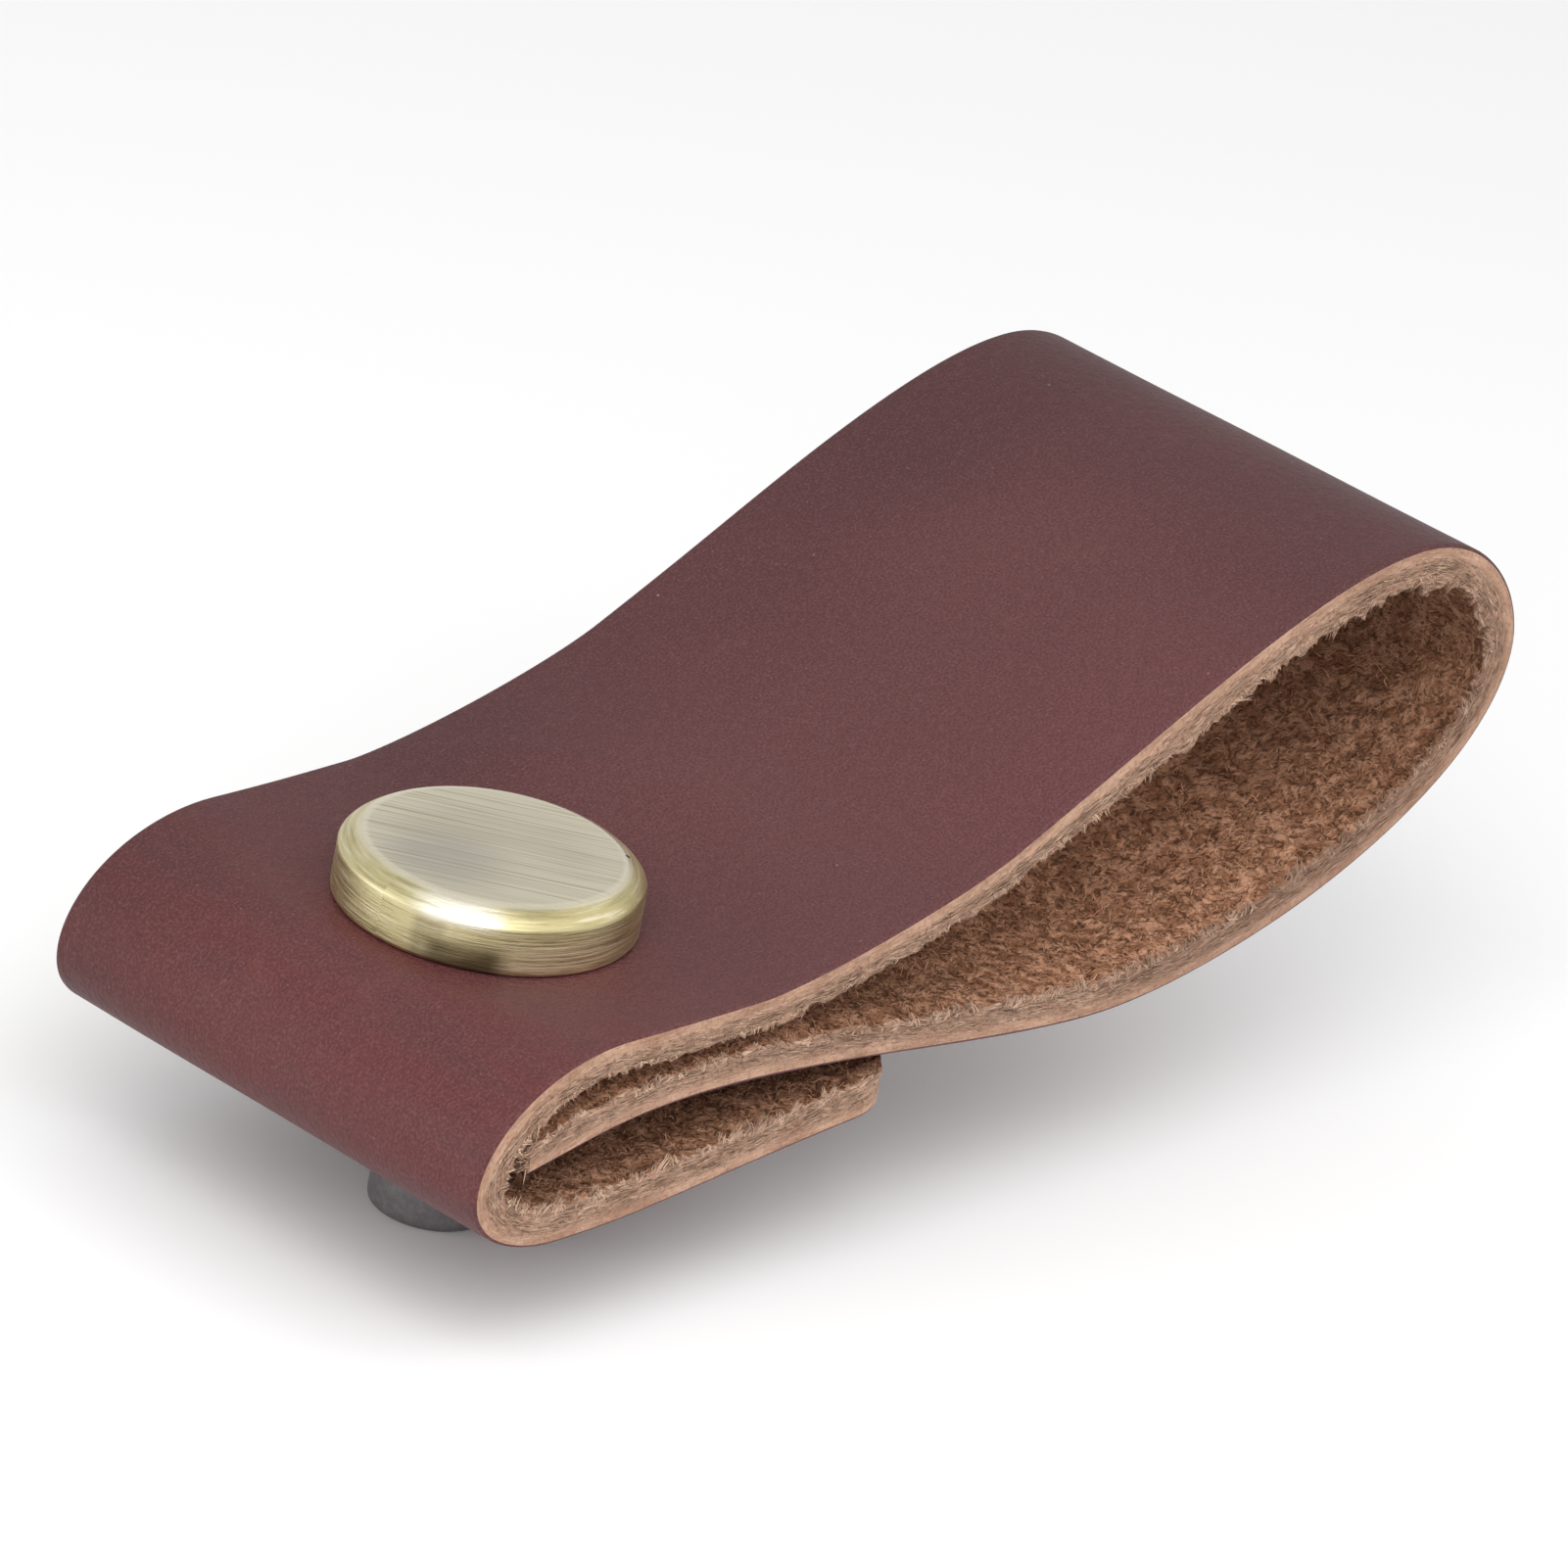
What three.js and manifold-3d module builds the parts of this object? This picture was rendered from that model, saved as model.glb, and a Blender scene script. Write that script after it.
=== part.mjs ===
// Leather cabinet pull: one strap folded into a finger loop and held on a button by three punched holes.
// Millimetres. The origin is the centre of the stem's end, which meets the drawer front.
// +Z runs up the stem to the button, +X towards the finger loop, and Y across the strap.

import * as THREE from 'three';
import { mergeVertices } from 'three/addons/utils/BufferGeometryUtils.js';
import Module from 'manifold-3d';

// Button and stem, turned as one piece
const headRadius = 10;
const headHeight = 4.4;
const headSideHeight = 3.1;
const faceRadius = 8.6;
const faceRimSlope = 30;
const headUndersideRound = 0.3;
const stemRadius = 4.15;
const stemLength = 21.4;
const stemEndRound = 0.5;

// Blind hole for an M4 cabinet screw, before the thread is cut
const screwHoleRadius = 1.65;
const screwHoleDepth = 13;
const screwHoleCountersink = 0.4;
const drillPointAngle = 59;

// Strap leather
const leather = 2.5;
const strapWidth = 38;
const tailCornerRadius = 5;
const punchClearance = 0.25;

// Free spaces between the plies
const tuckedPlyGap = 0.75;
const foldHollow = 5.3;
const tailHollow = 2.8;
const tuckGap = 2;

// Where the bend line runs, outside faces from the stem's axis and from the head's seat
const strapLift = 0.8;
const flatReach = 6;
const foldReach = 18.4;
const foldSag = 1.3;
const footReach = 10;
const tailReach = 22.6;
const tailSlope = 4;
const tuckDrop = 2.1;
const tuckSlope = 11;
const armLift = 1.5;
const armSagReach = 40.7;
const armSag = 3.4;
const loopReach = 78;
const loopEndRise = 10.6;
const crownReach = 65.8;
const crownRise = 20.5;
const neckReach = 29.1;
const neckRise = 4.9;
const neckSlope = 25;

// The head draws the plies down to its bedding, and the leather comes back up over this distance
const headBedding = 0.15;
const pressReach = 11;

// Fineness of the faceted solids
const turnSteps = 64;
const crossSteps = 8;
const facetLength = 2.8;
const facetTurn = 9;

const seat = stemLength;
const halfLeather = leather / 2;

const wasm = await Module();
wasm.setup();

// A closed mesh as a solid, with its shared vertices merged
function toSolid(geometry) {
  const bare = geometry.clone();
  bare.deleteAttribute('normal');
  bare.deleteAttribute('uv');
  const merged = mergeVertices(bare, 1e-4);
  return new wasm.Manifold(new wasm.Mesh({
    numProp: 3,
    vertProperties: new Float32Array(merged.attributes.position.array),
    triVerts: new Uint32Array(merged.index.array),
  }));
}

function toGeometry(solid) {
  const mesh = solid.getMesh();
  const geometry = new THREE.BufferGeometry();
  geometry.setAttribute('position', new THREE.BufferAttribute(mesh.vertProperties, 3));
  geometry.setIndex(new THREE.BufferAttribute(mesh.triVerts, 1));
  geometry.computeVertexNormals();
  return geometry;
}

// A profile of [radius, height] pairs turned about the stem's axis
function turned(profile) {
  const points = profile.map(([radius, height]) => new THREE.Vector2(radius, height));
  return new THREE.LatheGeometry(points, turnSteps).rotateX(Math.PI / 2);
}

function buttonGeometry() {
  const profile = [
    [0, screwHoleDepth + screwHoleRadius / Math.tan(THREE.MathUtils.degToRad(drillPointAngle))],
    [screwHoleRadius, screwHoleDepth],
    [screwHoleRadius, screwHoleCountersink],
    [screwHoleRadius + screwHoleCountersink, 0],
  ];
  const addRound = (radius, height, size) => {
    for (let step = 0; step <= 4; step += 1) {
      const turn = (step / 4) * (Math.PI / 2);
      profile.push([radius - size + size * Math.sin(turn), height + size - size * Math.cos(turn)]);
    }
  };
  addRound(stemRadius, 0, stemEndRound);
  profile.push([stemRadius, seat]);
  addRound(headRadius, seat, headUndersideRound);

  // The shoulder leaves the upright side smoothly and meets the flat face at a clear rim
  const rimDrop = (headRadius - faceRadius) * Math.tan(THREE.MathUtils.degToRad(faceRimSlope));
  const shoulder = new THREE.QuadraticBezierCurve(
    new THREE.Vector2(headRadius, seat + headSideHeight),
    new THREE.Vector2(headRadius, seat + Math.max(headHeight - rimDrop, headSideHeight)),
    new THREE.Vector2(faceRadius, seat + headHeight),
  );
  shoulder.getPoints(6).forEach((point) => profile.push([point.x, point.y]));
  profile.push([0, seat + headHeight]);
  return turned(profile);
}

// Stations along the strap's middle, from the tucked end round the loop and the fold to the tail.
// Each has its place, its heading in degrees, and how far its curve pulls back and ahead,
// as shares of the distance to the station before and after it.
// The head draws down the plies that start with a depth for it, and the top ply as far as that lifts off.
function bendStations() {
  const topPly = seat + strapLift - halfLeather;
  const tuckedPly = topPly - leather - tuckedPlyGap;
  const foot = tuckedPly - leather - foldHollow;
  const foldMiddle = (topPly + foot) / 2 - foldSag;
  const tuckEnd = -(foldReach - leather - tuckGap);
  const lower = { drawnDown: strapLift + headBedding };
  const free = { drawnDown: 0 };
  return [
    { x: tuckEnd, z: tuckedPly - tuckDrop, heading: tuckSlope, ahead: 0.38, ...lower },
    { x: armLift, z: tuckedPly, heading: 0, back: 0.42, ahead: 0.28, ...lower },
    { x: armSagReach, z: tuckedPly - armSag, heading: 0, back: 0.24, ahead: 0.34, ...free },
    { x: loopReach - halfLeather, z: seat + loopEndRise, heading: 90, back: 0.24, ahead: 0.25, ...free },
    { x: crownReach, z: seat + crownRise - halfLeather, heading: 180, back: 0.47, ahead: 0.24, ...free },
    { x: neckReach, z: seat + neckRise, heading: 180 + neckSlope, back: 0.39, ahead: 0.22 },
    { x: flatReach, z: topPly, heading: 180, back: 0.2, ahead: 0.33 },
    { x: -flatReach, z: topPly, heading: 180, back: 0.33, ahead: 0.54 },
    { x: -(foldReach - halfLeather), z: foldMiddle, heading: 270, back: 0.24, ahead: 0.39, ...free },
    { x: -footReach, z: foot, heading: 360, back: 0.27, ahead: 0.3, ...free },
    { x: tailReach, z: tuckedPly - leather - tailHollow, heading: 360 + tailSlope, back: 0.65 },
  ];
}

function headingVector(degrees) {
  const turn = THREE.MathUtils.degToRad(degrees);
  return new THREE.Vector2(Math.cos(turn), Math.sin(turn));
}

function bendCurve(from, to) {
  const start = new THREE.Vector2(from.x, from.z);
  const end = new THREE.Vector2(to.x, to.z);
  const span = start.distanceTo(end);
  return new THREE.CubicBezierCurve(
    start,
    start.clone().addScaledVector(headingVector(from.heading), from.ahead * span),
    end.clone().addScaledVector(headingVector(to.heading), -to.back * span),
    end,
  );
}

// Places along the bend line, each with the direction out of its grain face
// and how far the head draws it down where it lies right under the head
function bendLine() {
  const stations = bendStations();
  const line = [];
  stations.slice(1).forEach((to, index) => {
    const from = stations[index];
    const curve = bendCurve(from, to);
    const turn = Math.abs(to.heading - from.heading);
    const steps = Math.ceil(Math.max(curve.getLength() / facetLength, turn / facetTurn));
    for (let step = index === 0 ? 0 : 1; step <= steps; step += 1) {
      const middle = curve.getPointAt(step / steps);
      const along = curve.getTangentAt(step / steps);
      const grain = new THREE.Vector2(along.y, -along.x);
      const lift = middle.y + grain.y * halfLeather - seat + headBedding;
      line.push({ middle, grain, drawnDown: from.drawnDown ?? Math.max(lift, 0) });
    }
  });
  return line;
}

// The flat strap is bent along the line, with its plies drawn down under the head
function bentSheet() {
  const line = bendLine();
  const sheet = new THREE.BoxGeometry(1, strapWidth, leather, line.length - 1, crossSteps, 1);
  const position = sheet.attributes.position;
  for (let index = 0; index < position.count; index += 1) {
    const y = position.getY(index);
    const place = line[Math.round((position.getX(index) + 0.5) * (line.length - 1))];
    const point = place.middle.clone().addScaledVector(place.grain, -position.getZ(index));
    const distance = Math.hypot(point.x, y);
    const recovery = THREE.MathUtils.smoothstep(distance, headRadius, headRadius + pressReach);
    position.setXYZ(index, point.x, y, point.y - place.drawnDown * (1 - recovery));
  }
  return sheet;
}

// What is taken off each side of the tail to round its corners
function cornerTool(side) {
  const spare = 1;
  const inset = strapWidth / 2 - tailCornerRadius;
  const shape = new THREE.Shape();
  shape.moveTo(-tailCornerRadius, strapWidth / 2 + spare);
  shape.lineTo(-tailCornerRadius, strapWidth / 2);
  shape.absarc(-tailCornerRadius, inset, tailCornerRadius, Math.PI / 2, 0, true);
  shape.lineTo(spare, inset);
  shape.lineTo(spare, strapWidth / 2 + spare);
  const depth = leather + tailHollow / 2;
  const tool = new THREE.ExtrudeGeometry(shape, { depth, bevelEnabled: false, curveSegments: 8 });
  tool.translate(0, 0, -leather);
  if (side < 0) {
    tool.rotateX(Math.PI).translate(0, 0, depth - 2 * leather);
  }
  const tail = bendStations().at(-1);
  return tool.rotateY(-THREE.MathUtils.degToRad(tail.heading)).translate(tail.x, 0, tail.z);
}

function strapGeometry() {
  const punchRadius = stemRadius + punchClearance;
  const punchTop = seat + crownRise;
  const punch = turned([[0, 0], [punchRadius, 0], [punchRadius, punchTop], [0, punchTop]]);
  const solid = toSolid(bentSheet())
    .subtract(toSolid(punch))
    .subtract(toSolid(cornerTool(1)))
    .subtract(toSolid(cornerTool(-1)));
  return toGeometry(solid);
}

const oxbloodLeather = new THREE.MeshStandardMaterial({ color: 0x6b4345, roughness: 0.62, metalness: 0 });
const antiqueBrass = new THREE.MeshStandardMaterial({ color: 0xb0a47c, roughness: 0.38, metalness: 0.9 });

function piece(name, geometry, material) {
  const mesh = new THREE.Mesh(geometry, material);
  mesh.name = name;
  return mesh;
}

const cabinetPull = new THREE.Group();
cabinetPull.add(piece('folded_strap', strapGeometry(), oxbloodLeather));
cabinetPull.add(piece('button_stem', buttonGeometry(), antiqueBrass));

export default cabinetPull;
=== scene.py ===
"""Looks of a leather cabinet pull: a folded strap with raw cut edges, held on a brushed antique brass button.

Sizes are in millimetres, as on the drawing, and become metres where a mesh is made. Lamps are in metres.
The strap is described flat, as a blank with a length, a width and a thickness, and then bent along its line.
"""

import logging
import math
from dataclasses import dataclass, field, replace
from enum import Enum
from typing import Any, Union

import bmesh
import bpy
import numpy as np
from mathutils import Matrix, Vector

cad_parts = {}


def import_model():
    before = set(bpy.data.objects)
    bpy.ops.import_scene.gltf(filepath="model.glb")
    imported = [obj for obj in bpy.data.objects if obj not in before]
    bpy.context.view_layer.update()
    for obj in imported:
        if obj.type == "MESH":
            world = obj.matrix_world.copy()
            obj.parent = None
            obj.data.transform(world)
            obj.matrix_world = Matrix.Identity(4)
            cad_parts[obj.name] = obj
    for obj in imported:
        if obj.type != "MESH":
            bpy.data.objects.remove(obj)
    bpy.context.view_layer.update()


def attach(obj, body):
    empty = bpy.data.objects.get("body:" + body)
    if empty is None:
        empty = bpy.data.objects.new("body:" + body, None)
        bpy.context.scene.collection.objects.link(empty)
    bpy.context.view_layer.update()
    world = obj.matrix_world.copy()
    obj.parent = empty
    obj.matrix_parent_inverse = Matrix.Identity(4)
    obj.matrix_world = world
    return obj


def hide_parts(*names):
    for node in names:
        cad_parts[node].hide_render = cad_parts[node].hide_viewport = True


LOG = logging.getLogger("cabinet_pull")
MM = 0.001
ROOT_BODY = "root"
STRAP_NODE = "folded_strap"
BUTTON_NODE = "button_stem"
# Height of the head's underside over the stem's end, and thickness of the leather
SEAT = 21.4
LEATHER = 2.5
# Heights of the head and of its upright side, and radius of its face
HEAD_HEIGHT = 4.4
HEAD_SIDE = 3.1
FACE_RADIUS = 8.6
# Odd numbers that scatter a cell's place and a seed over 32 bits, and the largest value of those
SCATTER = (73856093, 19349663, 83492791, 2654435761)
STIR = (1274126177, 2246822519)
ALL_BITS = 0xFFFFFFFF

Colour = tuple[float, float, float]
Place = tuple[float, float, float]
Range = tuple[float, float]


def smoothstep(value: np.ndarray, low: float, high: float) -> np.ndarray:
    """Rise from 0 at low to 1 at high with level ends."""
    share = np.clip((value - low) / (high - low), 0.0, 1.0)
    return share * share * (3.0 - 2.0 * share)


def value_noise(points: np.ndarray, seed: int) -> np.ndarray:
    """Smooth random values over space.

    Args:
        points: Places, one row of two or three coordinates each, with one random value per whole step.
        seed: Which random field.

    Returns:
        One value from -1 to 1 per place.
    """
    if points.shape[1] == 2:
        level = 0.37
        points = np.column_stack([points, np.full(len(points), level)])
    cell = np.floor(points).astype(np.int64)
    inside = points - cell
    weight = inside * inside * (3.0 - 2.0 * inside)
    total = np.zeros(len(points))
    for corner in np.ndindex(2, 2, 2):
        x, y, z = (cell + np.array(corner)).T
        mixed = x * SCATTER[0] ^ y * SCATTER[1] ^ z * SCATTER[2] ^ seed * SCATTER[3]
        mixed = (mixed ^ (mixed >> 13)) * STIR[0] & ALL_BITS
        mixed = (mixed ^ (mixed >> 16)) * STIR[1] & ALL_BITS
        share = np.prod(np.where(np.array(corner) == 1, weight, 1.0 - weight), axis=1)
        total += share * (mixed / ALL_BITS * 2.0 - 1.0)
    return total


def mesh_piece(name: str, points: np.ndarray, faces: np.ndarray) -> bpy.types.Object:
    """Make an object from arrays.

    Args:
        name: The piece's name.
        points: Places in millimetres, one row each.
        faces: Point numbers, one row of three or four per face.

    Returns:
        The smooth-shaded object, linked to the scene.
    """
    mesh = bpy.data.meshes.new(name)
    mesh.vertices.add(len(points))
    mesh.vertices.foreach_set("co", (points * MM).astype(np.float32).ravel())
    mesh.loops.add(faces.size)
    mesh.loops.foreach_set("vertex_index", faces.astype(np.int32).ravel())
    mesh.polygons.add(len(faces))
    mesh.polygons.foreach_set("loop_start", np.arange(0, faces.size, faces.shape[1], dtype=np.int32))
    mesh.update(calc_edges=True)
    mesh.validate()
    mesh.shade_smooth()
    piece = bpy.data.objects.new(name, mesh)
    bpy.context.scene.collection.objects.link(piece)
    return piece


def ring_quads(rings: int, count: int) -> np.ndarray:
    """Join a row of closed rings of points, each to the next.

    Args:
        rings: How many rings there are.
        count: How many points each ring has.

    Returns:
        Point numbers, one row of four per face, ring by ring.
    """
    ring, point = np.meshgrid(np.arange(rings - 1), np.arange(count), indexing="ij")
    start, following = ring * count, (point + 1) % count
    corners = [start + point, start + following, start + count + following, start + count + point]
    return np.stack(corners, axis=-1).reshape(-1, 4)


def place_piece(piece: bpy.types.Object, node: str) -> None:
    """Let a piece stand for a node of the frame and ride on its body.

    Args:
        piece: The piece to place.
        node: The node of the frame that it dresses.
    """
    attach(piece, ROOT_BODY)
    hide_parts(node)
    LOG.info("%s: %d faces, for %s", piece.name, len(piece.data.polygons), node)


class Wire:
    """An output socket that takes part in arithmetic, each step adding its Math node."""

    def __init__(self, bench: "Bench", socket: bpy.types.NodeSocket) -> None:
        """Wrap one socket of the bench's material."""
        self.bench = bench
        self.socket = socket

    def math(self, operation: str, *others: "Value") -> "Wire":
        """Apply a Math operation to this wire and the others, and return its result."""
        node = self.bench.node("ShaderNodeMath", {"operation": operation}, dict(enumerate((self, *others))))
        return node["Value"]

    def __add__(self, other: "Value") -> "Wire":
        """Return self + other."""
        return self.math("ADD", other)

    __radd__ = __add__

    def __mul__(self, other: "Value") -> "Wire":
        """Return self * other."""
        return self.math("MULTIPLY", other)

    __rmul__ = __mul__

    def __sub__(self, other: "Value") -> "Wire":
        """Return self - other."""
        return self.math("SUBTRACT", other)

    def __rsub__(self, other: "Value") -> "Wire":
        """Return other - self."""
        return (self * -1.0) + other

    def band(self, low: float, high: float) -> "Wire":
        """Rise smoothly from 0 to 1, or fall where low is above high.

        Args:
            low: Where the result is 0.
            high: Where the result is 1.

        Returns:
            The result, held at 0 and 1 beyond the two.
        """
        settings = {"interpolation_type": "SMOOTHSTEP"}
        if low < high:
            sockets = {"Value": self, "From Min": low, "From Max": high, "To Min": 0.0, "To Max": 1.0}
        else:
            sockets = {"Value": self, "From Min": high, "From Max": low, "To Min": 1.0, "To Max": 0.0}
        return self.bench.node("ShaderNodeMapRange", settings, sockets)["Result"]


Value = Union[Wire, float, Colour]


class NodeOutputs:
    """The outputs of one node, each read as a wire."""

    def __init__(self, bench: "Bench", node: bpy.types.Node) -> None:
        """Wrap one node of the bench's material."""
        self.bench = bench
        self.made = node

    def __getitem__(self, name: str) -> Wire:
        """Return the enabled output with this name."""
        sockets = [socket for socket in self.made.outputs if socket.name == name and socket.enabled]
        return Wire(self.bench, sockets[0])


class Bench:
    """Builds the nodes of one material."""

    def __init__(self, name: str) -> None:
        """Start a material with a surface shader and nothing else.

        Args:
            name: The material's name.
        """
        self.material = bpy.data.materials.new(name)
        self.material.use_nodes = True
        self.tree = self.material.node_tree
        self.surface = next(node for node in self.tree.nodes if node.type == "BSDF_PRINCIPLED")

    def node(self, kind: str, settings: dict[str, Any], sockets: dict[Union[str, int], Value]) -> NodeOutputs:
        """Add a node.

        Args:
            kind: The node's type.
            settings: Its properties, which are set first.
            sockets: Values or wires for its inputs, by name or number.

        Returns:
            The node's outputs.
        """
        made = self.tree.nodes.new(kind)
        for name, value in settings.items():
            setattr(made, name, value)
        for name, value in sockets.items():
            self._feed(self._input(made, name), value)
        return NodeOutputs(self, made)

    @staticmethod
    def _input(made: bpy.types.Node, name: Union[str, int]) -> bpy.types.NodeSocket:
        """Find one input of a node.

        Args:
            made: The node.
            name: The name of an enabled input, or an input's number.

        Returns:
            The input.
        """
        if isinstance(name, int):
            return made.inputs[name]
        return next(socket for socket in made.inputs if socket.name == name and socket.enabled)

    def _feed(self, socket: bpy.types.NodeSocket, value: Value) -> None:
        """Link a wire to an input, or set its constant.

        Args:
            socket: The input.
            value: A wire, a number, a vector or a colour.
        """
        if isinstance(value, Wire):
            self.tree.links.new(value.socket, socket)
        elif isinstance(value, tuple) and len(socket.default_value) == 4:
            socket.default_value = (*value, 1.0)
        else:
            socket.default_value = value

    def finish(self, **sockets: Value) -> bpy.types.Material:
        """Feed the surface shader.

        Args:
            **sockets: Values or wires for its inputs, with _ for a space in their names.

        Returns:
            The material.
        """
        for name, value in sockets.items():
            self._feed(self.surface.inputs[name.replace("_", " ")], value)
        return self.material

    def mix(self, share: Value, low: Value, high: Value) -> Wire:
        """Mix two colours by a share."""
        sockets = {"Factor": share, "A": low, "B": high}
        return self.node("ShaderNodeMix", {"data_type": "RGBA"}, sockets)["Result"]

    def layers(self, ground: Value, coats: list[tuple[Value, Value]]) -> Value:
        """Lay coats of colour on a ground, one after another.

        Args:
            ground: The colour that they start from.
            coats: How much of each coat shows, and its colour.

        Returns:
            The colour with every coat on it.
        """
        colour = ground
        for share, coat in coats:
            colour = self.mix(share, colour, coat)
        return colour

    def blank_map(self) -> Wire:
        """Return the place on the flat leather blank, in millimetres."""
        return self.node("ShaderNodeUVMap", {"uv_map": "blank"}, {})["UV"]

    def place(self) -> Wire:
        """Return the place on the object, in millimetres."""
        return self.stretch(self.node("ShaderNodeTexCoord", {}, {})["Object"], (1.0 / MM, 1.0 / MM, 1.0 / MM))

    def stretch(self, vector: Wire, scale: Place) -> Wire:
        """Scale a vector along each of its axes."""
        return self.node("ShaderNodeVectorMath", {"operation": "MULTIPLY"}, {0: vector, 1: scale})["Vector"]

    def flat(self, first: Wire, second: Wire) -> Wire:
        """Return a vector with these two coordinates, and 0 for the third."""
        return self.node("ShaderNodeCombineXYZ", {}, {"X": first, "Y": second, "Z": 0.0})["Vector"]

    def noise(self, vector: Wire, scale: float, detail: float = 3.0, roughness: float = 0.55,
              distortion: float = 0.0) -> Wire:
        """Spread fractal noise over a vector.

        Args:
            vector: Where the noise is read.
            scale: How many of its largest grains go into one unit.
            detail: How many times finer grains are added.
            roughness: How strongly each finer grain counts.
            distortion: How far the grains are pulled out of shape.

        Returns:
            Noise from 0 to 1.
        """
        sockets = {"Vector": vector, "Scale": scale, "Detail": detail, "Roughness": roughness,
                   "Distortion": distortion}
        return self.node("ShaderNodeTexNoise", {"noise_dimensions": "3D"}, sockets)["Fac"]

    def cells(self, vector: Wire, scale: float, feature: str = "F1") -> Wire:
        """Return the distance to the nearest of many scattered points."""
        sockets = {"Vector": vector, "Scale": scale}
        return self.node("ShaderNodeTexVoronoi", {"feature": feature}, sockets)["Distance"]

    def bump(self, height: Wire, depth: float, strength: float = 1.0) -> Wire:
        """Return a normal raised by height times a depth in millimetres."""
        sockets = {"Height": height, "Distance": depth * MM, "Strength": strength}
        return self.node("ShaderNodeBump", {}, sockets)["Normal"]

    def attribute(self, name: str) -> Wire:
        """Return a number that the mesh carries."""
        return self.node("ShaderNodeAttribute", {"attribute_name": name}, {})["Fac"]

    def distance(self, vector: Wire, spot: Place) -> Wire:
        """Return how far a place is from a spot."""
        return self.node("ShaderNodeVectorMath", {"operation": "DISTANCE"}, {0: vector, 1: spot})["Value"]

    def split(self, vector: Wire) -> NodeOutputs:
        """Return a vector's X, Y and Z."""
        return self.node("ShaderNodeSeparateXYZ", {}, {"Vector": vector})


@dataclass(frozen=True)
class Stretch:
    """A length of the strap with soft ends, in millimetres from the tucked end."""

    rise: Range
    fall: Range

    def on_wire(self, along: Wire) -> Wire:
        """Return 1 within the stretch and 0 outside it, for a wire."""
        return along.band(*self.rise) * along.band(*self.fall[::-1])

    def on_blank(self, along: np.ndarray) -> np.ndarray:
        """Return 1 within the stretch and 0 outside it, for lengths along the blank."""
        return smoothstep(along, *self.rise) * (1.0 - smoothstep(along, *self.fall))


# The tucked ply lies close under the top ply up to this range, and the top ply over it along this stretch
TUCKED_PLY_END: Range = (34.0, 54.0)
TOP_PLY = Stretch((136.0, 156.0), (190.0, 200.0))
# The loop's lower arm, whose cut edge and fibres are painted darker and browner as shade
LOWER_ARM = Stretch((50.0, 68.0), (90.0, 104.0))


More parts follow.
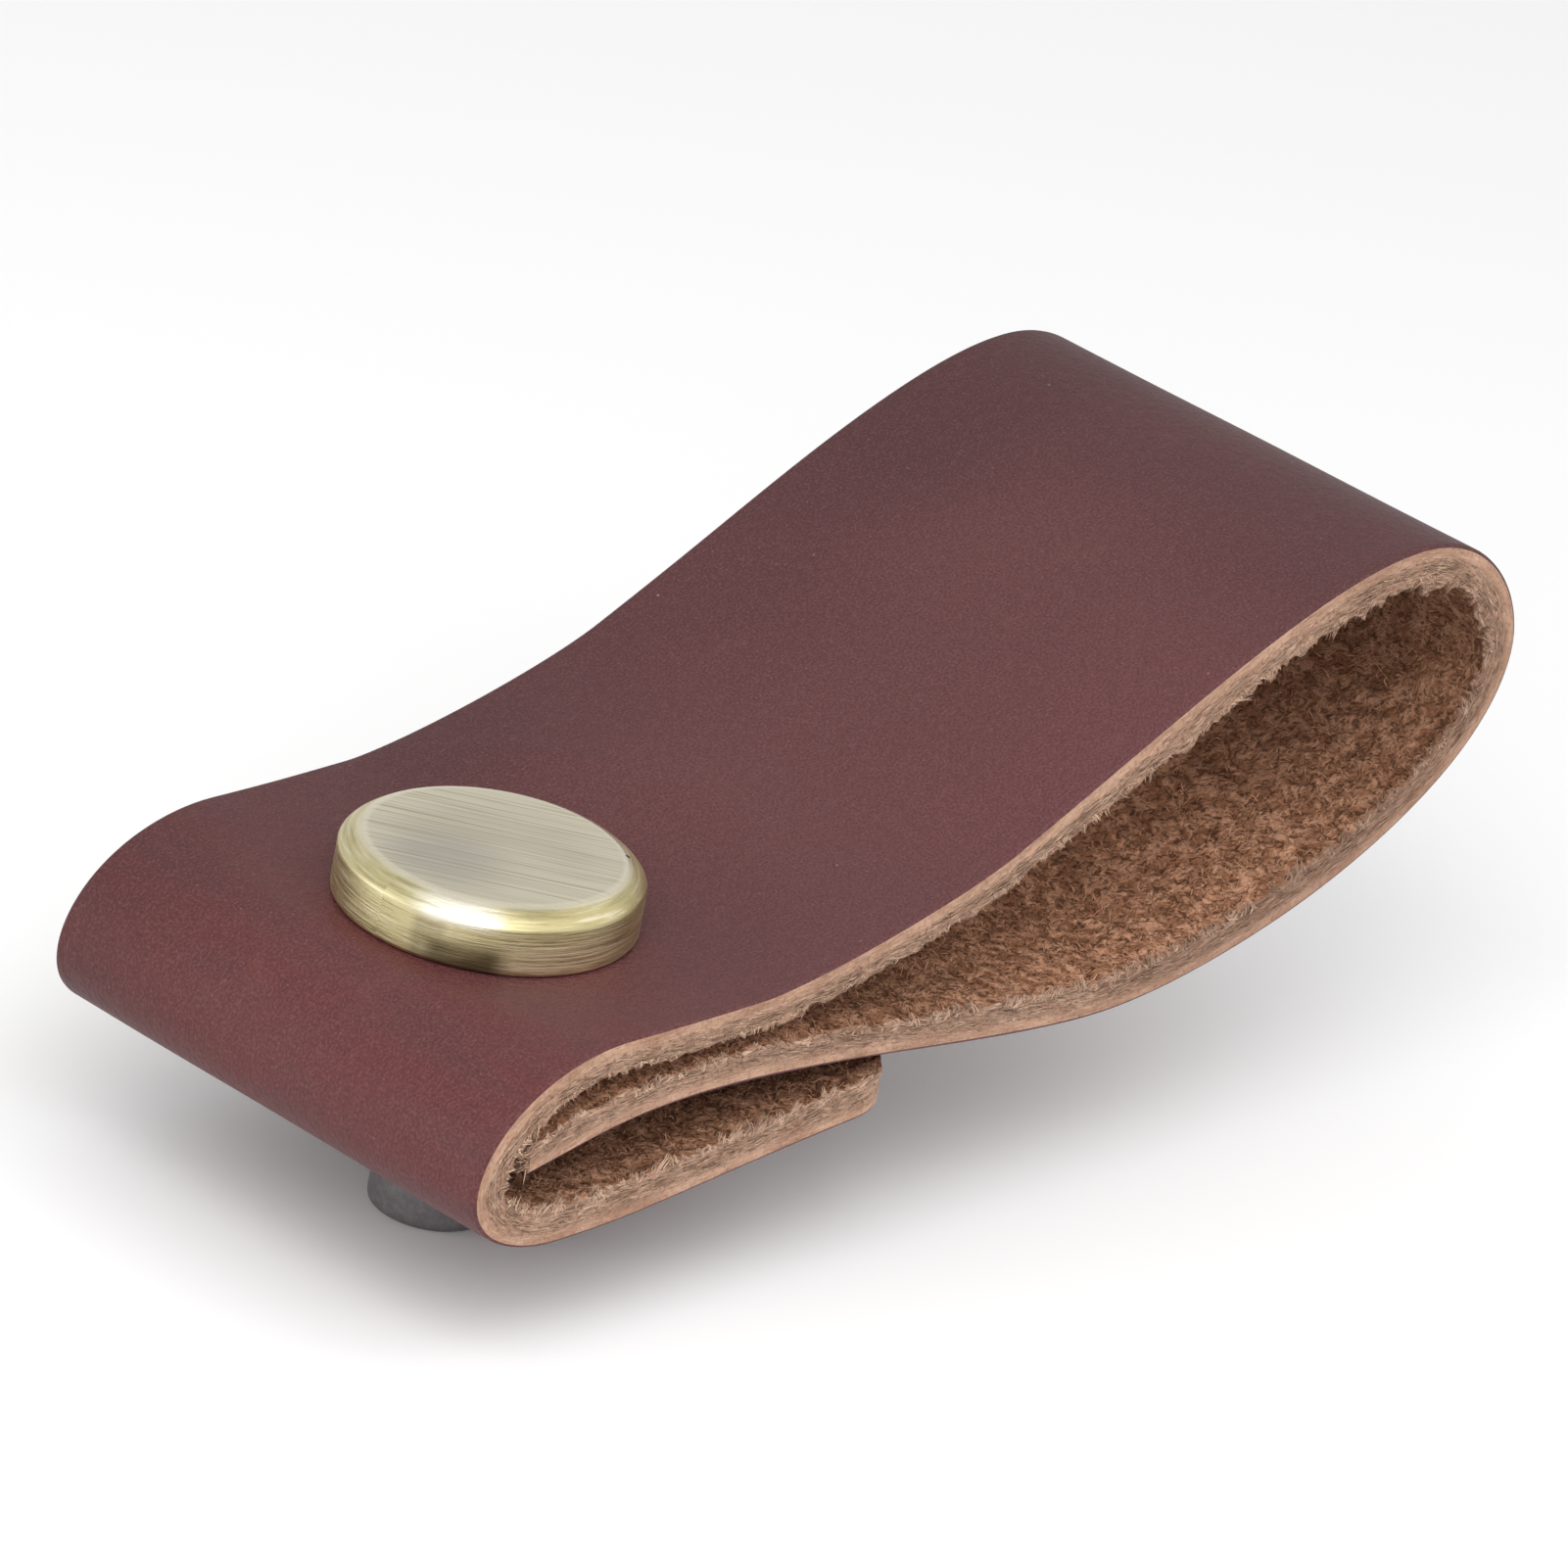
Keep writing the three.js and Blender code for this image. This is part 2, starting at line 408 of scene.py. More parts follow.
@dataclass(frozen=True)
class GrainFinish:
    """The dyed, waxed outer face of the leather, with the scales of its marks in marks per millimetre."""

    dye: Colour = (0.114, 0.0395, 0.041)
    deep: Colour = (0.067, 0.0245, 0.026)
    light: Colour = (0.172, 0.073, 0.074)
    fleck: Colour = (0.250, 0.140, 0.135)
    red: Colour = (0.108, 0.0240, 0.0225)
    scuff: Colour = (0.160, 0.066, 0.055)
    dust: Colour = (0.48, 0.38, 0.34)
    pit: Colour = (0.022, 0.008, 0.008)
    # crown and far_half are darkened with painted shade; front_fold is painted redder for its weaker sheen
    crown: Stretch = Stretch((78.0, 98.0), (118.0, 136.0))
    far_half: Range = (0.0, 18.0)
    front_fold: Range = (170.0, 198.0)
    mottle_scale: float = 0.045
    sand_scale: float = 5.4
    streak_scale: Place = (0.30, 0.06, 1.0)
    blotch_scale: float = 1.2
    fleck_scale: float = 1.5
    fleck_groups: float = 0.5
    scuff_scale: float = 0.16
    crumb_scale: float = 0.34
    crumb_groups: float = 0.12
    pit_scale: float = 0.30
    pit_groups: float = 0.2
    pit_stretch: Place = (1.0, 1.3, 1.0)
    bead_scale: float = 2.3
    dimple_scale: float = 0.8
    relief: float = 0.11

    def material(self) -> bpy.types.Material:
        """Mix oxblood leather with a sandy grain, faint scuffs, dust and pits, with painted shade on the
        crown and the far half and a front fold painted redder for its weaker sheen.

        Returns:
            The material.
        """
        bench = Bench("oxblood_grain")
        blank = bench.blank_map()
        axes = bench.split(blank)
        mottle = bench.noise(blank, self.mottle_scale, 2.0, 0.5)
        sand = bench.noise(blank, self.sand_scale, 2.0, 0.62)
        streak = bench.noise(bench.stretch(blank, self.streak_scale), 1.0, 3.0)
        blotch = bench.noise(blank, self.blotch_scale, 3.0, 0.6)
        # Painted shade: the crown and the far half of the strap are darkened
        painted_shade = self.crown.on_wire(axes["X"]) * 0.55 + axes["Y"].band(*self.far_half) * 0.65
        # The leather's own mottle joins the painted shade
        mottle_and_painted_shade = (mottle.band(0.70, 0.30) * 0.35 + painted_shade).math("MINIMUM", 1.0)
        folded = axes["X"].band(*self.front_fold)
        # Painted: the front fold coloured redder, more along streaks, standing in for the weaker sheen on it
        painted_fold_red = folded * (0.38 + streak.band(0.38, 0.62) * 0.45) * (1.0 - mottle_and_painted_shade * 0.45)
        flecks = bench.cells(blank, self.fleck_scale).band(0.15, 0.06)
        flecks = flecks * bench.noise(blank, self.fleck_groups, 2.0).band(0.45, 0.60)
        scuffed = bench.noise(blank, self.scuff_scale, 4.0, 0.6).band(0.60, 0.74)
        crumbs = bench.cells(blank, self.crumb_scale).band(0.040, 0.018)
        crumbs = crumbs * bench.noise(blank, self.crumb_groups, 2.0).band(0.44, 0.62)
        pits = bench.cells(bench.stretch(blank, self.pit_stretch), self.pit_scale).band(0.040, 0.016)
        pits = pits * bench.noise(blank, self.pit_groups, 1.0).band(0.48, 0.56)
        colour = bench.layers(self.dye, [
            # The mottle with the painted shade, then the front fold's painted red
            (mottle_and_painted_shade, self.deep),
            (painted_fold_red, self.red),
            (folded * streak.band(0.50, 0.32) * 0.35, self.deep),
            (blotch.band(0.46, 0.68) * 0.13, self.light),
            (blotch.band(0.50, 0.34) * 0.20, self.deep),
            (sand.band(0.46, 0.72) * 0.52, self.light),
            (sand.band(0.54, 0.32) * 0.72, self.deep),
            (flecks * 0.35, self.fleck),
            (scuffed * 0.14, self.scuff),
            (crumbs * 0.55, self.dust),
            (pits * 0.9, self.pit),
        ])
        beads = bench.cells(blank, self.bead_scale, "SMOOTH_F1")
        height = sand * 0.6 - beads * 0.9 + bench.noise(blank, self.dimple_scale, 2.0) * 0.5
        return bench.finish(
            Base_Color=colour,
            Roughness=0.50 + (sand - 0.5) * 0.30 + (mottle - 0.5) * 0.10,
            Specular_IOR_Level=0.19,
            Normal=bench.bump(height, self.relief, 0.9),
        )


@dataclass(frozen=True)
class EdgeFinish:
    """The raw cut edge, with fibres that run along it, and their scales along, across and through it."""

    pale: Colour = (0.49, 0.295, 0.202)
    tan: Colour = (0.32, 0.172, 0.110)
    straw: Colour = (0.68, 0.49, 0.365)
    shade: Colour = (0.105, 0.056, 0.036)
    grey: Colour = (0.37, 0.31, 0.26)
    # brown paints shade on the cut edge of the loop's lower arm
    brown: Colour = (0.17, 0.085, 0.052)
    dyed: Colour = (0.27, 0.125, 0.092)
    loosening: Range = (LEATHER * 0.225, LEATHER * -0.05)
    dyed_rim: Range = (LEATHER / 2 - 0.20, LEATHER / 2 - 0.02)
    string_scale: Place = (0.7, 5.0, 1.0)
    thread_scale: Place = (0.9, 8.0, 1.0)
    patch_scale: Place = (0.25, 0.8, 1.0)
    fleck_scale: float = 3.0
    relief: float = 0.36

    def material(self) -> bpy.types.Material:
        """Mix a cut edge that is dense near the grain face and stringy towards the flesh side, with painted
        shade on the loop's lower arm.

        Returns:
            The material.
        """
        bench = Bench("cut_edge")
        blank = bench.blank_map()
        axes = bench.split(blank)
        loose = axes["Y"].band(*self.loosening)
        strings = bench.noise(bench.stretch(blank, self.string_scale), 1.0, 3.0, 0.65, 0.6)
        threads = bench.noise(bench.stretch(blank, self.thread_scale), 1.0, 3.0, 0.6, 0.4)
        patches = bench.noise(bench.stretch(blank, self.patch_scale), 1.0, 3.0)
        flecks = bench.noise(blank, self.fleck_scale, 2.0, 0.6)
        colour = bench.layers(self.tan, [
            (patches.band(0.3, 0.7), self.pale),
            (flecks.band(0.50, 0.34) * (0.35 + loose * 0.35), self.shade),
            (strings.band(0.49, 0.38) * (loose * 0.55 + 0.20), self.shade),
            (threads.band(0.53, 0.63) * (loose * 0.35 + 0.30), self.straw),
            (threads.band(0.45, 0.35) * 0.40, self.grey),
            # Painted shade: the lower arm's edge darkened towards brown
            (LOWER_ARM.on_wire(axes["X"]) * (loose * 0.30 + 0.15), self.brown),
            (axes["Y"].band(*self.dyed_rim) * 0.6, self.dyed),
        ])
        height = strings * (loose + 0.15) + threads * (loose * 0.5) + flecks * 0.35
        return bench.finish(
            Base_Color=colour,
            Roughness=0.88,
            Specular_IOR_Level=0.2,
            Normal=bench.bump(height, self.relief, 0.9),
        )


@dataclass(frozen=True)
class FleshFinish:
    """The sueded inner face of the leather."""

    tan: Colour = (0.72, 0.395, 0.245)
    brown: Colour = (0.38, 0.182, 0.100)
    dark: Colour = (0.075, 0.031, 0.016)
    # Stretches of the flesh side darkened with painted shade
    inmost: Stretch = Stretch((68.0, 92.0), (112.0, 136.0))
    under_fold: Range = (198.0, 208.0)
    clump_scale: float = 0.75
    nap_scale: float = 1.7
    relief: float = 0.60

    def material(self) -> bpy.types.Material:
        """Mix brown suede with a clumped nap, with painted shade deep in the loop, between close plies and
        under the front fold.

        Returns:
            The material.
        """
        bench = Bench("flesh_suede")
        blank = bench.blank_map()
        clumps = bench.noise(blank, self.clump_scale, 3.0, 0.6, 0.8)
        naps = bench.noise(blank, self.nap_scale, 3.0, 0.6, 1.2)
        along = bench.split(blank)["X"]
        inside = self.inmost.on_wire(along)
        between = along.band(*TUCKED_PLY_END[::-1]) + TOP_PLY.on_wire(along)
        under = along.band(*self.under_fold)
        colour = bench.layers(self.brown, [
            (clumps.band(0.40, 0.62), self.tan),
            (naps.band(0.51, 0.38) * 0.75, self.dark),
            # Painted shade deep in the loop, between close plies and under the front fold
            (inside * 0.45 + between * 0.30 + under * 0.28, self.dark),
        ])
        return bench.finish(
            Base_Color=colour,
            Roughness=0.95,
            Specular_IOR_Level=0.12,
            Normal=bench.bump(naps + clumps * 0.8, self.relief, 1.0),
        )


@dataclass(frozen=True)
class FibreFinish:
    """Loose leather fibres, from dark to pale by the tone each carries."""

    name: str
    dark: Colour
    pale: Colour
    patch_scale: float = 0.6

    def material(self) -> bpy.types.Material:
        """Mix matt fibres whose colour follows their tone.

        Returns:
            The material.
        """
        bench = Bench(self.name)
        patches = bench.noise(bench.place(), self.patch_scale, 3.0)
        share = bench.attribute("tone") * 0.7 + patches.band(0.3, 0.7) * 0.3
        colour = bench.mix(share, self.dark, self.pale)
        return bench.finish(Base_Color=colour, Roughness=0.9, Specular_IOR_Level=0.2)


@dataclass(frozen=True)
class BrassFinish:
    """Brushed antique brass on the head, and the dark skin of the stem.

    Spots are places on the head, and patches round its side are an angle with its spread, in radians.
    Brush lines have a scale along them and one across them.
    """

    bright: Colour = (0.86, 0.80, 0.62)
    pale: Colour = (0.98, 0.94, 0.83)
    rim: Colour = (0.96, 0.89, 0.69)
    painted_highlight_tint: Colour = (0.98, 0.87, 0.55)
    warm: Colour = (0.65, 0.575, 0.31)
    olive: Colour = (0.37, 0.305, 0.135)
    # Darkens the brush lines as patina, and paints the dark reflections on the side
    patina_and_dark_reflection: Colour = (0.13, 0.095, 0.045)
    face: Colour = (0.74, 0.68, 0.53)
    face_dull: Colour = (0.63, 0.57, 0.44)
    face_dark_patch: Colour = (0.50, 0.46, 0.39)
    iron: Colour = (0.255, 0.240, 0.245)
    iron_dark: Colour = (0.195, 0.182, 0.185)
    nick_shade: Colour = (0.02, 0.015, 0.01)
    seat: float = SEAT
    side_top: float = SEAT + HEAD_SIDE
    face_height: float = SEAT + HEAD_HEIGHT
    face_radius: float = FACE_RADIUS
    brush_angle: float = -54.4
    dull_spot: Place = (-4.4, 0.6, 25.8)
    # A painted highlight on the shoulder
    painted_highlight_spot: Place = (-8.15, -4.7, 25.2)
    nick: Place = (7.10, -5.05, 25.78)
    # The next two patches are painted dark reflections on the side
    painted_dark_band: Range = (-2.77, 0.15)
    painted_low_reflection: Range = (-2.53, 0.36)
    # Painted shade on one side of the shoulder
    painted_shade_shoulder: Range = (-1.60, 0.80)
    # A painted highlight low on one side
    painted_highlight_side: Range = (-1.85, 0.60)
    face_brush: Range = (0.035, 3.6)
    face_bands: Range = (0.05, 0.16)
    side_brush: Range = (1.7, 4.2)
    side_clouds: Range = (2.2, 0.7)
    skin_scale: float = 1.9
    relief: float = 0.060

    def material(self) -> bpy.types.Material:
        """Mix brass brushed straight on the face and round the side, with painted highlights, painted shade
        and painted dark reflections on the head, and a dark stem.

        Returns:
            The material.
        """
        bench = Bench("antique_brass")
        place = bench.place()
        axes = bench.split(place)
        radius = (axes["X"] * axes["X"] + axes["Y"] * axes["Y"]).math("SQRT")
        is_face = axes["Z"].band(self.face_height - 0.10, self.face_height - 0.02)
        is_head = axes["Z"].band(self.seat - 0.06, self.seat - 0.01)
        rim = radius.band(self.face_radius - 0.50, self.face_radius - 0.15)
        rim = rim * radius.band(self.face_radius + 0.45, self.face_radius + 0.12)
        straight, broad = self._straight_brush(bench, axes)
        around, cloud = self._round_brush(bench, axes)
        brush = is_face * straight + (1.0 - is_face) * around
        skin = bench.noise(place, self.skin_scale, 4.0, 0.65)
        stem = bench.mix(skin.band(0.35, 0.7), self.iron_dark, self.iron)
        head = bench.layers(self._side(bench, place, axes, around, cloud), [
            (is_face, self._face(bench, place, radius, straight, broad)),
            # Painted highlight: a paler rim round the face
            (rim * 0.60, self.rim),
            (bench.distance(place, self.nick).band(0.26, 0.12), self.nick_shade),
        ])
        relief = brush * is_head * (1.0 - is_face * 0.8) * (1.0 - rim * 0.9) + skin * (1.0 - is_head)
        return bench.finish(
            Base_Color=bench.mix(is_head, stem, head),
            Metallic=0.70 + is_head * 0.30,
            Roughness=0.42 + (brush - 0.5) * 0.30 - is_face * 0.08 - rim * 0.08,
            Coat_Weight=is_head * 0.30,
            Coat_Roughness=0.28,
            Normal=bench.bump(relief, self.relief, 0.8),
        )

    def _face(self, bench: Bench, place: Wire, radius: Wire, straight: Wire, broad: Wire) -> Value:
        """Mix the flat face's colour.

        Args:
            bench: Where the material is built.
            place: The place on the button.
            radius: How far that is from the axis.
            straight: The fine lines of the brush.
            broad: Its broad lines.

        Returns:
            The colour.
        """
        return bench.layers(self.face_dull, [
            (broad.band(0.30, 0.70), self.face),
            (radius.band(4.5, 8.2) * 0.45, self.bright),
            # A darker patch on the face round dull_spot
            (bench.distance(place, self.dull_spot).band(6.5, 1.0) * 0.90, self.face_dark_patch),
            (straight.band(0.50, 0.66) * 0.60, self.bright),
            (straight.band(0.51, 0.34) * 0.65, self.olive),
        ])

    def _side(self, bench: Bench, place: Wire, axes: NodeOutputs, around: Wire, cloud: Wire) -> Value:
        """Mix the colour of the head's side and shoulder, with brush lines, painted highlights, painted shade
        and painted dark reflections.

        Args:
            bench: Where the material is built.
            place: The place on the button.
            axes: The same place's coordinates.
            around: The fine lines round the side.
            cloud: The broad clouds round it.

        Returns:
            The colour.
        """
        low = axes["Z"].band(self.side_top + 0.4, self.seat + 0.6)
        upper = axes["Z"].band(self.side_top - 0.5, self.side_top + 0.1)
        # Painted dark reflections: a tall band on the side and a low patch near its foot
        painted_dark_band = self._patch(axes, self.painted_dark_band) * (1.0 - upper) * 0.5
        painted_low_reflection = self._patch(axes, self.painted_low_reflection) * axes["Z"].band(self.seat + 2.5, self.seat + 1.1)
        painted_reflection = painted_dark_band.math("MAXIMUM", painted_low_reflection)
        return bench.layers(self.warm, [
            # Painted shade: one side of the shoulder dulled to olive
            (self._patch(axes, self.painted_shade_shoulder) * upper * 0.48, self.olive),
            # Painted highlights: the low side brightened, and a pale spot on the shoulder
            (self._patch(axes, self.painted_highlight_side) * low * 0.75, self.painted_highlight_tint),
            (bench.distance(place, self.painted_highlight_spot).band(3.8, 1.4) * upper * 0.75, self.pale),
            (around.band(0.51, 0.66) * 0.6, self.bright),
            (around.band(0.50, 0.36) * (low * 0.25 + 0.3), self.patina_and_dark_reflection),
            # The painted dark reflections laid on
            (painted_reflection * (0.75 + cloud.band(0.35, 0.65) * 0.2), self.patina_and_dark_reflection),
        ])

    @staticmethod
    def _patch(axes: NodeOutputs, patch: Range) -> Wire:
        """Return a soft patch at an angle round the side, given with its spread."""
        angle = axes["Y"].math("ARCTAN2", axes["X"])
        return (angle - patch[0]).math("ABSOLUTE").band(patch[1], patch[1] * 0.45)

    def _straight_brush(self, bench: Bench, axes: NodeOutputs) -> tuple[Wire, Wire]:
        """Draw brush lines that run straight over the face.

        Args:
            bench: Where the material is built.
            axes: The coordinates of the place on the button.

        Returns:
            The fine lines and the broad ones.
        """
        turn = math.radians(self.brush_angle)
        cross = axes["X"] * -math.sin(turn) + axes["Y"] * math.cos(turn)
        along = axes["X"] * math.cos(turn) + axes["Y"] * math.sin(turn)
        fine = bench.flat(along * self.face_brush[0], cross * self.face_brush[1])
        broad = bench.flat(along * self.face_bands[0], cross * self.face_bands[1])
        return bench.noise(fine, 1.0, 4.0, 0.70), bench.noise(broad, 1.0, 2.0)

    def _round_brush(self, bench: Bench, axes: NodeOutputs) -> tuple[Wire, Wire]:
        """Draw brush lines that run round the side.

        Args:
            bench: Where the material is built.
            axes: The coordinates of the place on the button.

        Returns:
            The fine lines and the broad clouds.
        """
        angle = axes["Y"].math("ARCTAN2", axes["X"])
        fine = bench.flat(angle * self.side_brush[0], axes["Z"] * self.side_brush[1])
        broad = bench.flat(angle * self.side_clouds[0], axes["Z"] * self.side_clouds[1])
        return bench.noise(fine, 1.0, 4.0, 0.70), bench.noise(broad, 1.0, 3.0)


@dataclass(frozen=True)
class Station:
    """A place on the strap's middle, its heading, and how its curve pulls towards its neighbours."""

    x: float
    z: float
    heading: float
    back: float = 0.0
    ahead: float = 0.0
    drawn: float = 0.0
    is_top: bool = False

    def direction(self) -> np.ndarray:
        """Return the unit vector of the heading."""
        turn = math.radians(self.heading)
        return np.array([math.cos(turn), math.sin(turn)])


class BendLine:
    """The strap's middle as a smooth curve through its stations."""

    STEPS = 300
    SAME_PLACE = 1e-9

    def __init__(self, stations: list[Station], seat: float, half_leather: float, bedding: float) -> None:
        """Sample the curve between the stations, and how far the head draws down each place under it.

        Args:
            stations: The stations, from the tucked end to the tail.
            seat: Height of the head's underside.
            half_leather: Half the leather's thickness.
            bedding: How far the head beds into the leather.
        """
        middles, alongs, drawns = [], [], []
        for start, end in zip(stations, stations[1:]):
            middle, along = self._curve(start, end)
            lift = middle[:, 1] - along[:, 0] * half_leather - seat + bedding
            drawns.append(np.maximum(lift, 0.0) if start.is_top else np.full(self.STEPS, start.drawn))
            middles.append(middle)
            alongs.append(along)
        middle = np.vstack(middles)
        keep = np.r_[True, np.hypot(*np.diff(middle, axis=0).T) > self.SAME_PLACE]
        self.middle = middle[keep]
        self.along = np.vstack(alongs)[keep]
        self.drawn = np.concatenate(drawns)[keep]
        self.length_at = np.r_[0.0, np.cumsum(np.hypot(*np.diff(self.middle, axis=0).T))]
        self.length = float(self.length_at[-1])

    def _curve(self, start: Station, end: Station) -> tuple[np.ndarray, np.ndarray]:
        """Sample the curve from one station to the next.

        Args:
            start: The station that it leaves.
            end: The station that it reaches.

        Returns:
            Places and unit directions, one row of x and z each.
        """
        share = np.linspace(0.0, 1.0, self.STEPS)[:, None]
        rest = 1.0 - share
        low, high = np.array([start.x, start.z]), np.array([end.x, end.z])
        span = float(np.hypot(*(high - low)))
        pull_low = low + start.direction() * start.ahead * span
        pull_high = high - end.direction() * end.back * span
        middle = rest**3 * low + 3 * rest**2 * share * pull_low
        middle = middle + 3 * rest * share**2 * pull_high + share**3 * high
        along = rest**2 * (pull_low - low) + 2 * rest * share * (pull_high - pull_low)
        along = along + share**2 * (high - pull_high)
        return middle, along / np.linalg.norm(along, axis=1)[:, None]

    def at(self, length: np.ndarray) -> tuple[np.ndarray, np.ndarray, np.ndarray, np.ndarray, np.ndarray]:
        """Find places on the line.

        Args:
            length: Lengths along the line, which runs on straight past its two ends.

        Returns:
            x, z, the grain face's outward direction in x and z, and the drawn-down depth.
        """
        values = [self.middle[:, 0], self.middle[:, 1], self.along[:, 1], -self.along[:, 0], self.drawn]
        x, z, grain_x, grain_z, drawn = (np.interp(length, self.length_at, value) for value in values)
        beyond = length - np.clip(length, 0.0, self.length)
        return x - grain_z * beyond, z + grain_x * beyond, grain_x, grain_z, drawn


class Side(Enum):
    """Which surface of the blank a face belongs to, as the order of the strap's finishes."""

    GRAIN = 0
    EDGE = 1
    FLESH = 2


@dataclass(frozen=True)
class RingPoint:
    """A point on the ring round the blank's section, from its share of the half width to its surface."""

    share: float
    extra: float
    depth: float
    out_across: float
    out_depth: float
    side: Side

    def mirrored(self) -> "RingPoint":
        """Return the same point on the other half of the section."""
        return replace(self, share=-self.share, extra=-self.extra, out_across=-self.out_across)


@dataclass
class Strands:
    """Fibres as paths on the blank: length, width and depth at each step, with a radius and a tone each."""

    along: np.ndarray
    across: np.ndarray
    depth: np.ndarray
    radius: np.ndarray
    tone: np.ndarray


# Shares of a fibre's length at which its path is sampled
FIBRE_STEPS = np.linspace(0.0, 1.0, 4)[None, :]


@dataclass
class FoldedStrap:
    """One strap of leather, bent round a finger loop and a front fold, with three plies on the stem.

    Waves, the coarse nap and the fine nap have a height and a length. Strings and torn places have a length
    and a depth. Wear and tears fade over an inset from the cut edge. Places along the strap are lengths from
    the tucked end.
    """

    seat: float = SEAT
    leather: float = LEATHER
    width: float = 38.0
    tail_corner: float = 5.0
    punch_radius: float = 4.4
    punch_steps: int = 64
    punch_spare: float = 1.0
    punch_map: float = 0.1
    tucked_ply_gap: float = 0.75
    fold_hollow: float = 5.3
    tail_hollow: float = 2.8
    tuck_gap: float = 2.0
    strap_lift: float = 0.8
    flat_reach: float = 6.0
    fold_reach: float = 18.4
    fold_sag: float = 1.3
    foot_reach: float = 10.0
    tail_reach: float = 22.6
    tail_slope: float = 4.0
    tuck_drop: float = 2.1
    tuck_slope: float = 11.0
    arm_lift: float = 1.5
    arm_sag_reach: float = 40.7
    arm_sag: float = 3.4
    loop_reach: float = 78.0
    loop_end_rise: float = 10.6
    crown_reach: float = 65.8
    crown_rise: float = 20.5
    neck_reach: float = 29.1
    neck_rise: float = 4.9
    neck_slope: float = 25.0
    head_radius: float = 10.0
    head_bedding: float = 0.05
    press_reach: float = 11.0
    grain_round: float = 0.22
    along_step: float = 0.29
    across_cells: int = 44
    edge_cells: int = 9
    round_cells: int = 3
    corner_rows: int = 19
    waves: Range = (0.04, 11.0)
    coarse_nap: Range = (0.20, 1.3)
    fine_nap: Range = (0.10, 0.7)
    strings: Range = (2.4, 0.34)
    torn_places: Range = (0.9, 0.5)
    rim_wear: float = 0.45
    wear_length: float = 1.7
    wear_fade: Range = (0.5, 2.0)
    rim_tear: float = 0.60
    tear_length: float = 2.3
    tear_fade: Range = (0.1, 1.0)
    tear_rise: Range = (80.0, 98.0)
    tear_fall: Range = (132.0, 160.0)
    loop_span: Range = (34.0, 168.0)
    tail_nap_from: float = 205.0
    nap_margin: float = 4.0
    loop_density: float = 2.3
    tail_density: float = 2.6
    margin_density: float = 3.0
    nap_patch: float = 1.7
    nap_swirl: float = 2.6
    nap_reach: Range = (0.35, 0.95)
    nap_lift: Range = (0.10, 0.42)
    nap_radius: Range = (0.035, 0.075)
    inmost_nap: Stretch = Stretch((66.0, 92.0), (112.0, 136.0))
    under_fold: Range = (200.0, 206.0)
    strings_per_mm: float = 22.0
    string_reach: Range = (0.6, 2.0)
    string_radius: Range = (0.022, 0.050)
    tufts_per_mm: float = 1.7
    tuft_fibres: int = 13
    tuft_radius: Range = (0.05, 0.10)
    short_tufts_before: float = 36.0
    short_tufts: Range = (148.0, 196.0)
    fuzz_per_mm: float = 34.0
    fuzz_reach: Range = (0.3, 1.3)
    fuzz_radius: Range = (0.045, 0.10)
    end_margin: float = 0.05
    fibre_taper: float = 0.45
    seed: int = 11
    fibre_seed: int = 5
    line: BendLine = field(init=False)

    def __post_init__(self) -> None:
        """Lay out the bend line."""
        self.line = BendLine(self._stations(), self.seat, self.leather / 2, self.head_bedding)

    def _stations(self) -> list[Station]:
        """Lay out the bend line's stations.

        Returns:
            The stations, from the tucked end round the loop and the front fold to the tail.
        """
        half = self.leather / 2
        top = self.seat + self.strap_lift - half
        tucked = top - self.leather - self.tucked_ply_gap
        foot = tucked - self.leather - self.fold_hollow
        tuck_end = -(self.fold_reach - self.leather - self.tuck_gap)
        neck_heading, tail_heading = 180.0 + self.neck_slope, 360.0 + self.tail_slope
        drawn = self.strap_lift + self.head_bedding
        return [
            Station(tuck_end, tucked - self.tuck_drop, self.tuck_slope, ahead=0.38, drawn=drawn),
            Station(self.arm_lift, tucked, 0.0, back=0.42, ahead=0.28, drawn=drawn),
            Station(self.arm_sag_reach, tucked - self.arm_sag, 0.0, back=0.24, ahead=0.34),
            Station(self.loop_reach - half, self.seat + self.loop_end_rise, 90.0, back=0.24, ahead=0.25),
            Station(self.crown_reach, self.seat + self.crown_rise - half, 180.0, back=0.47, ahead=0.24),
            Station(self.neck_reach, self.seat + self.neck_rise, neck_heading, back=0.39, ahead=0.22,
                    is_top=True),
            Station(self.flat_reach, top, 180.0, back=0.2, ahead=0.33, is_top=True),
            Station(-self.flat_reach, top, 180.0, back=0.33, ahead=0.54, is_top=True),
            Station(half - self.fold_reach, (top + foot) / 2 - self.fold_sag, 270.0, back=0.24, ahead=0.39),
            Station(-self.foot_reach, foot, 360.0, back=0.27, ahead=0.3),
            Station(self.tail_reach, tucked - self.leather - self.tail_hollow, tail_heading, back=0.65),
        ]

    def bend(self, along: np.ndarray, across: np.ndarray, depth: np.ndarray) -> np.ndarray:
        """Carry places on the flat blank to the bent strap.

        Args:
            along: Length from the tucked end.
            across: Place across the width, from the middle.
            depth: Height above the blank's middle, towards the grain face.

        Returns:
            One row of x, y and z in millimetres for each place.
        """
        x, z, grain_x, grain_z, drawn = self.line.at(along)
        depth = depth + self._wear(along, across, depth)
        x = x + grain_x * depth
        z = z + grain_z * depth
        recovery = smoothstep(np.hypot(x, across), self.head_radius, self.head_radius + self.press_reach)
        return np.column_stack([x, across, z - drawn * (1.0 - recovery)])

    @staticmethod
    def _facing(along: np.ndarray) -> np.ndarray:
        """Return 1 at lengths where two plies face each other closely, and 0 elsewhere."""
        return 1.0 - smoothstep(along, *TUCKED_PLY_END) + TOP_PLY.on_blank(along)

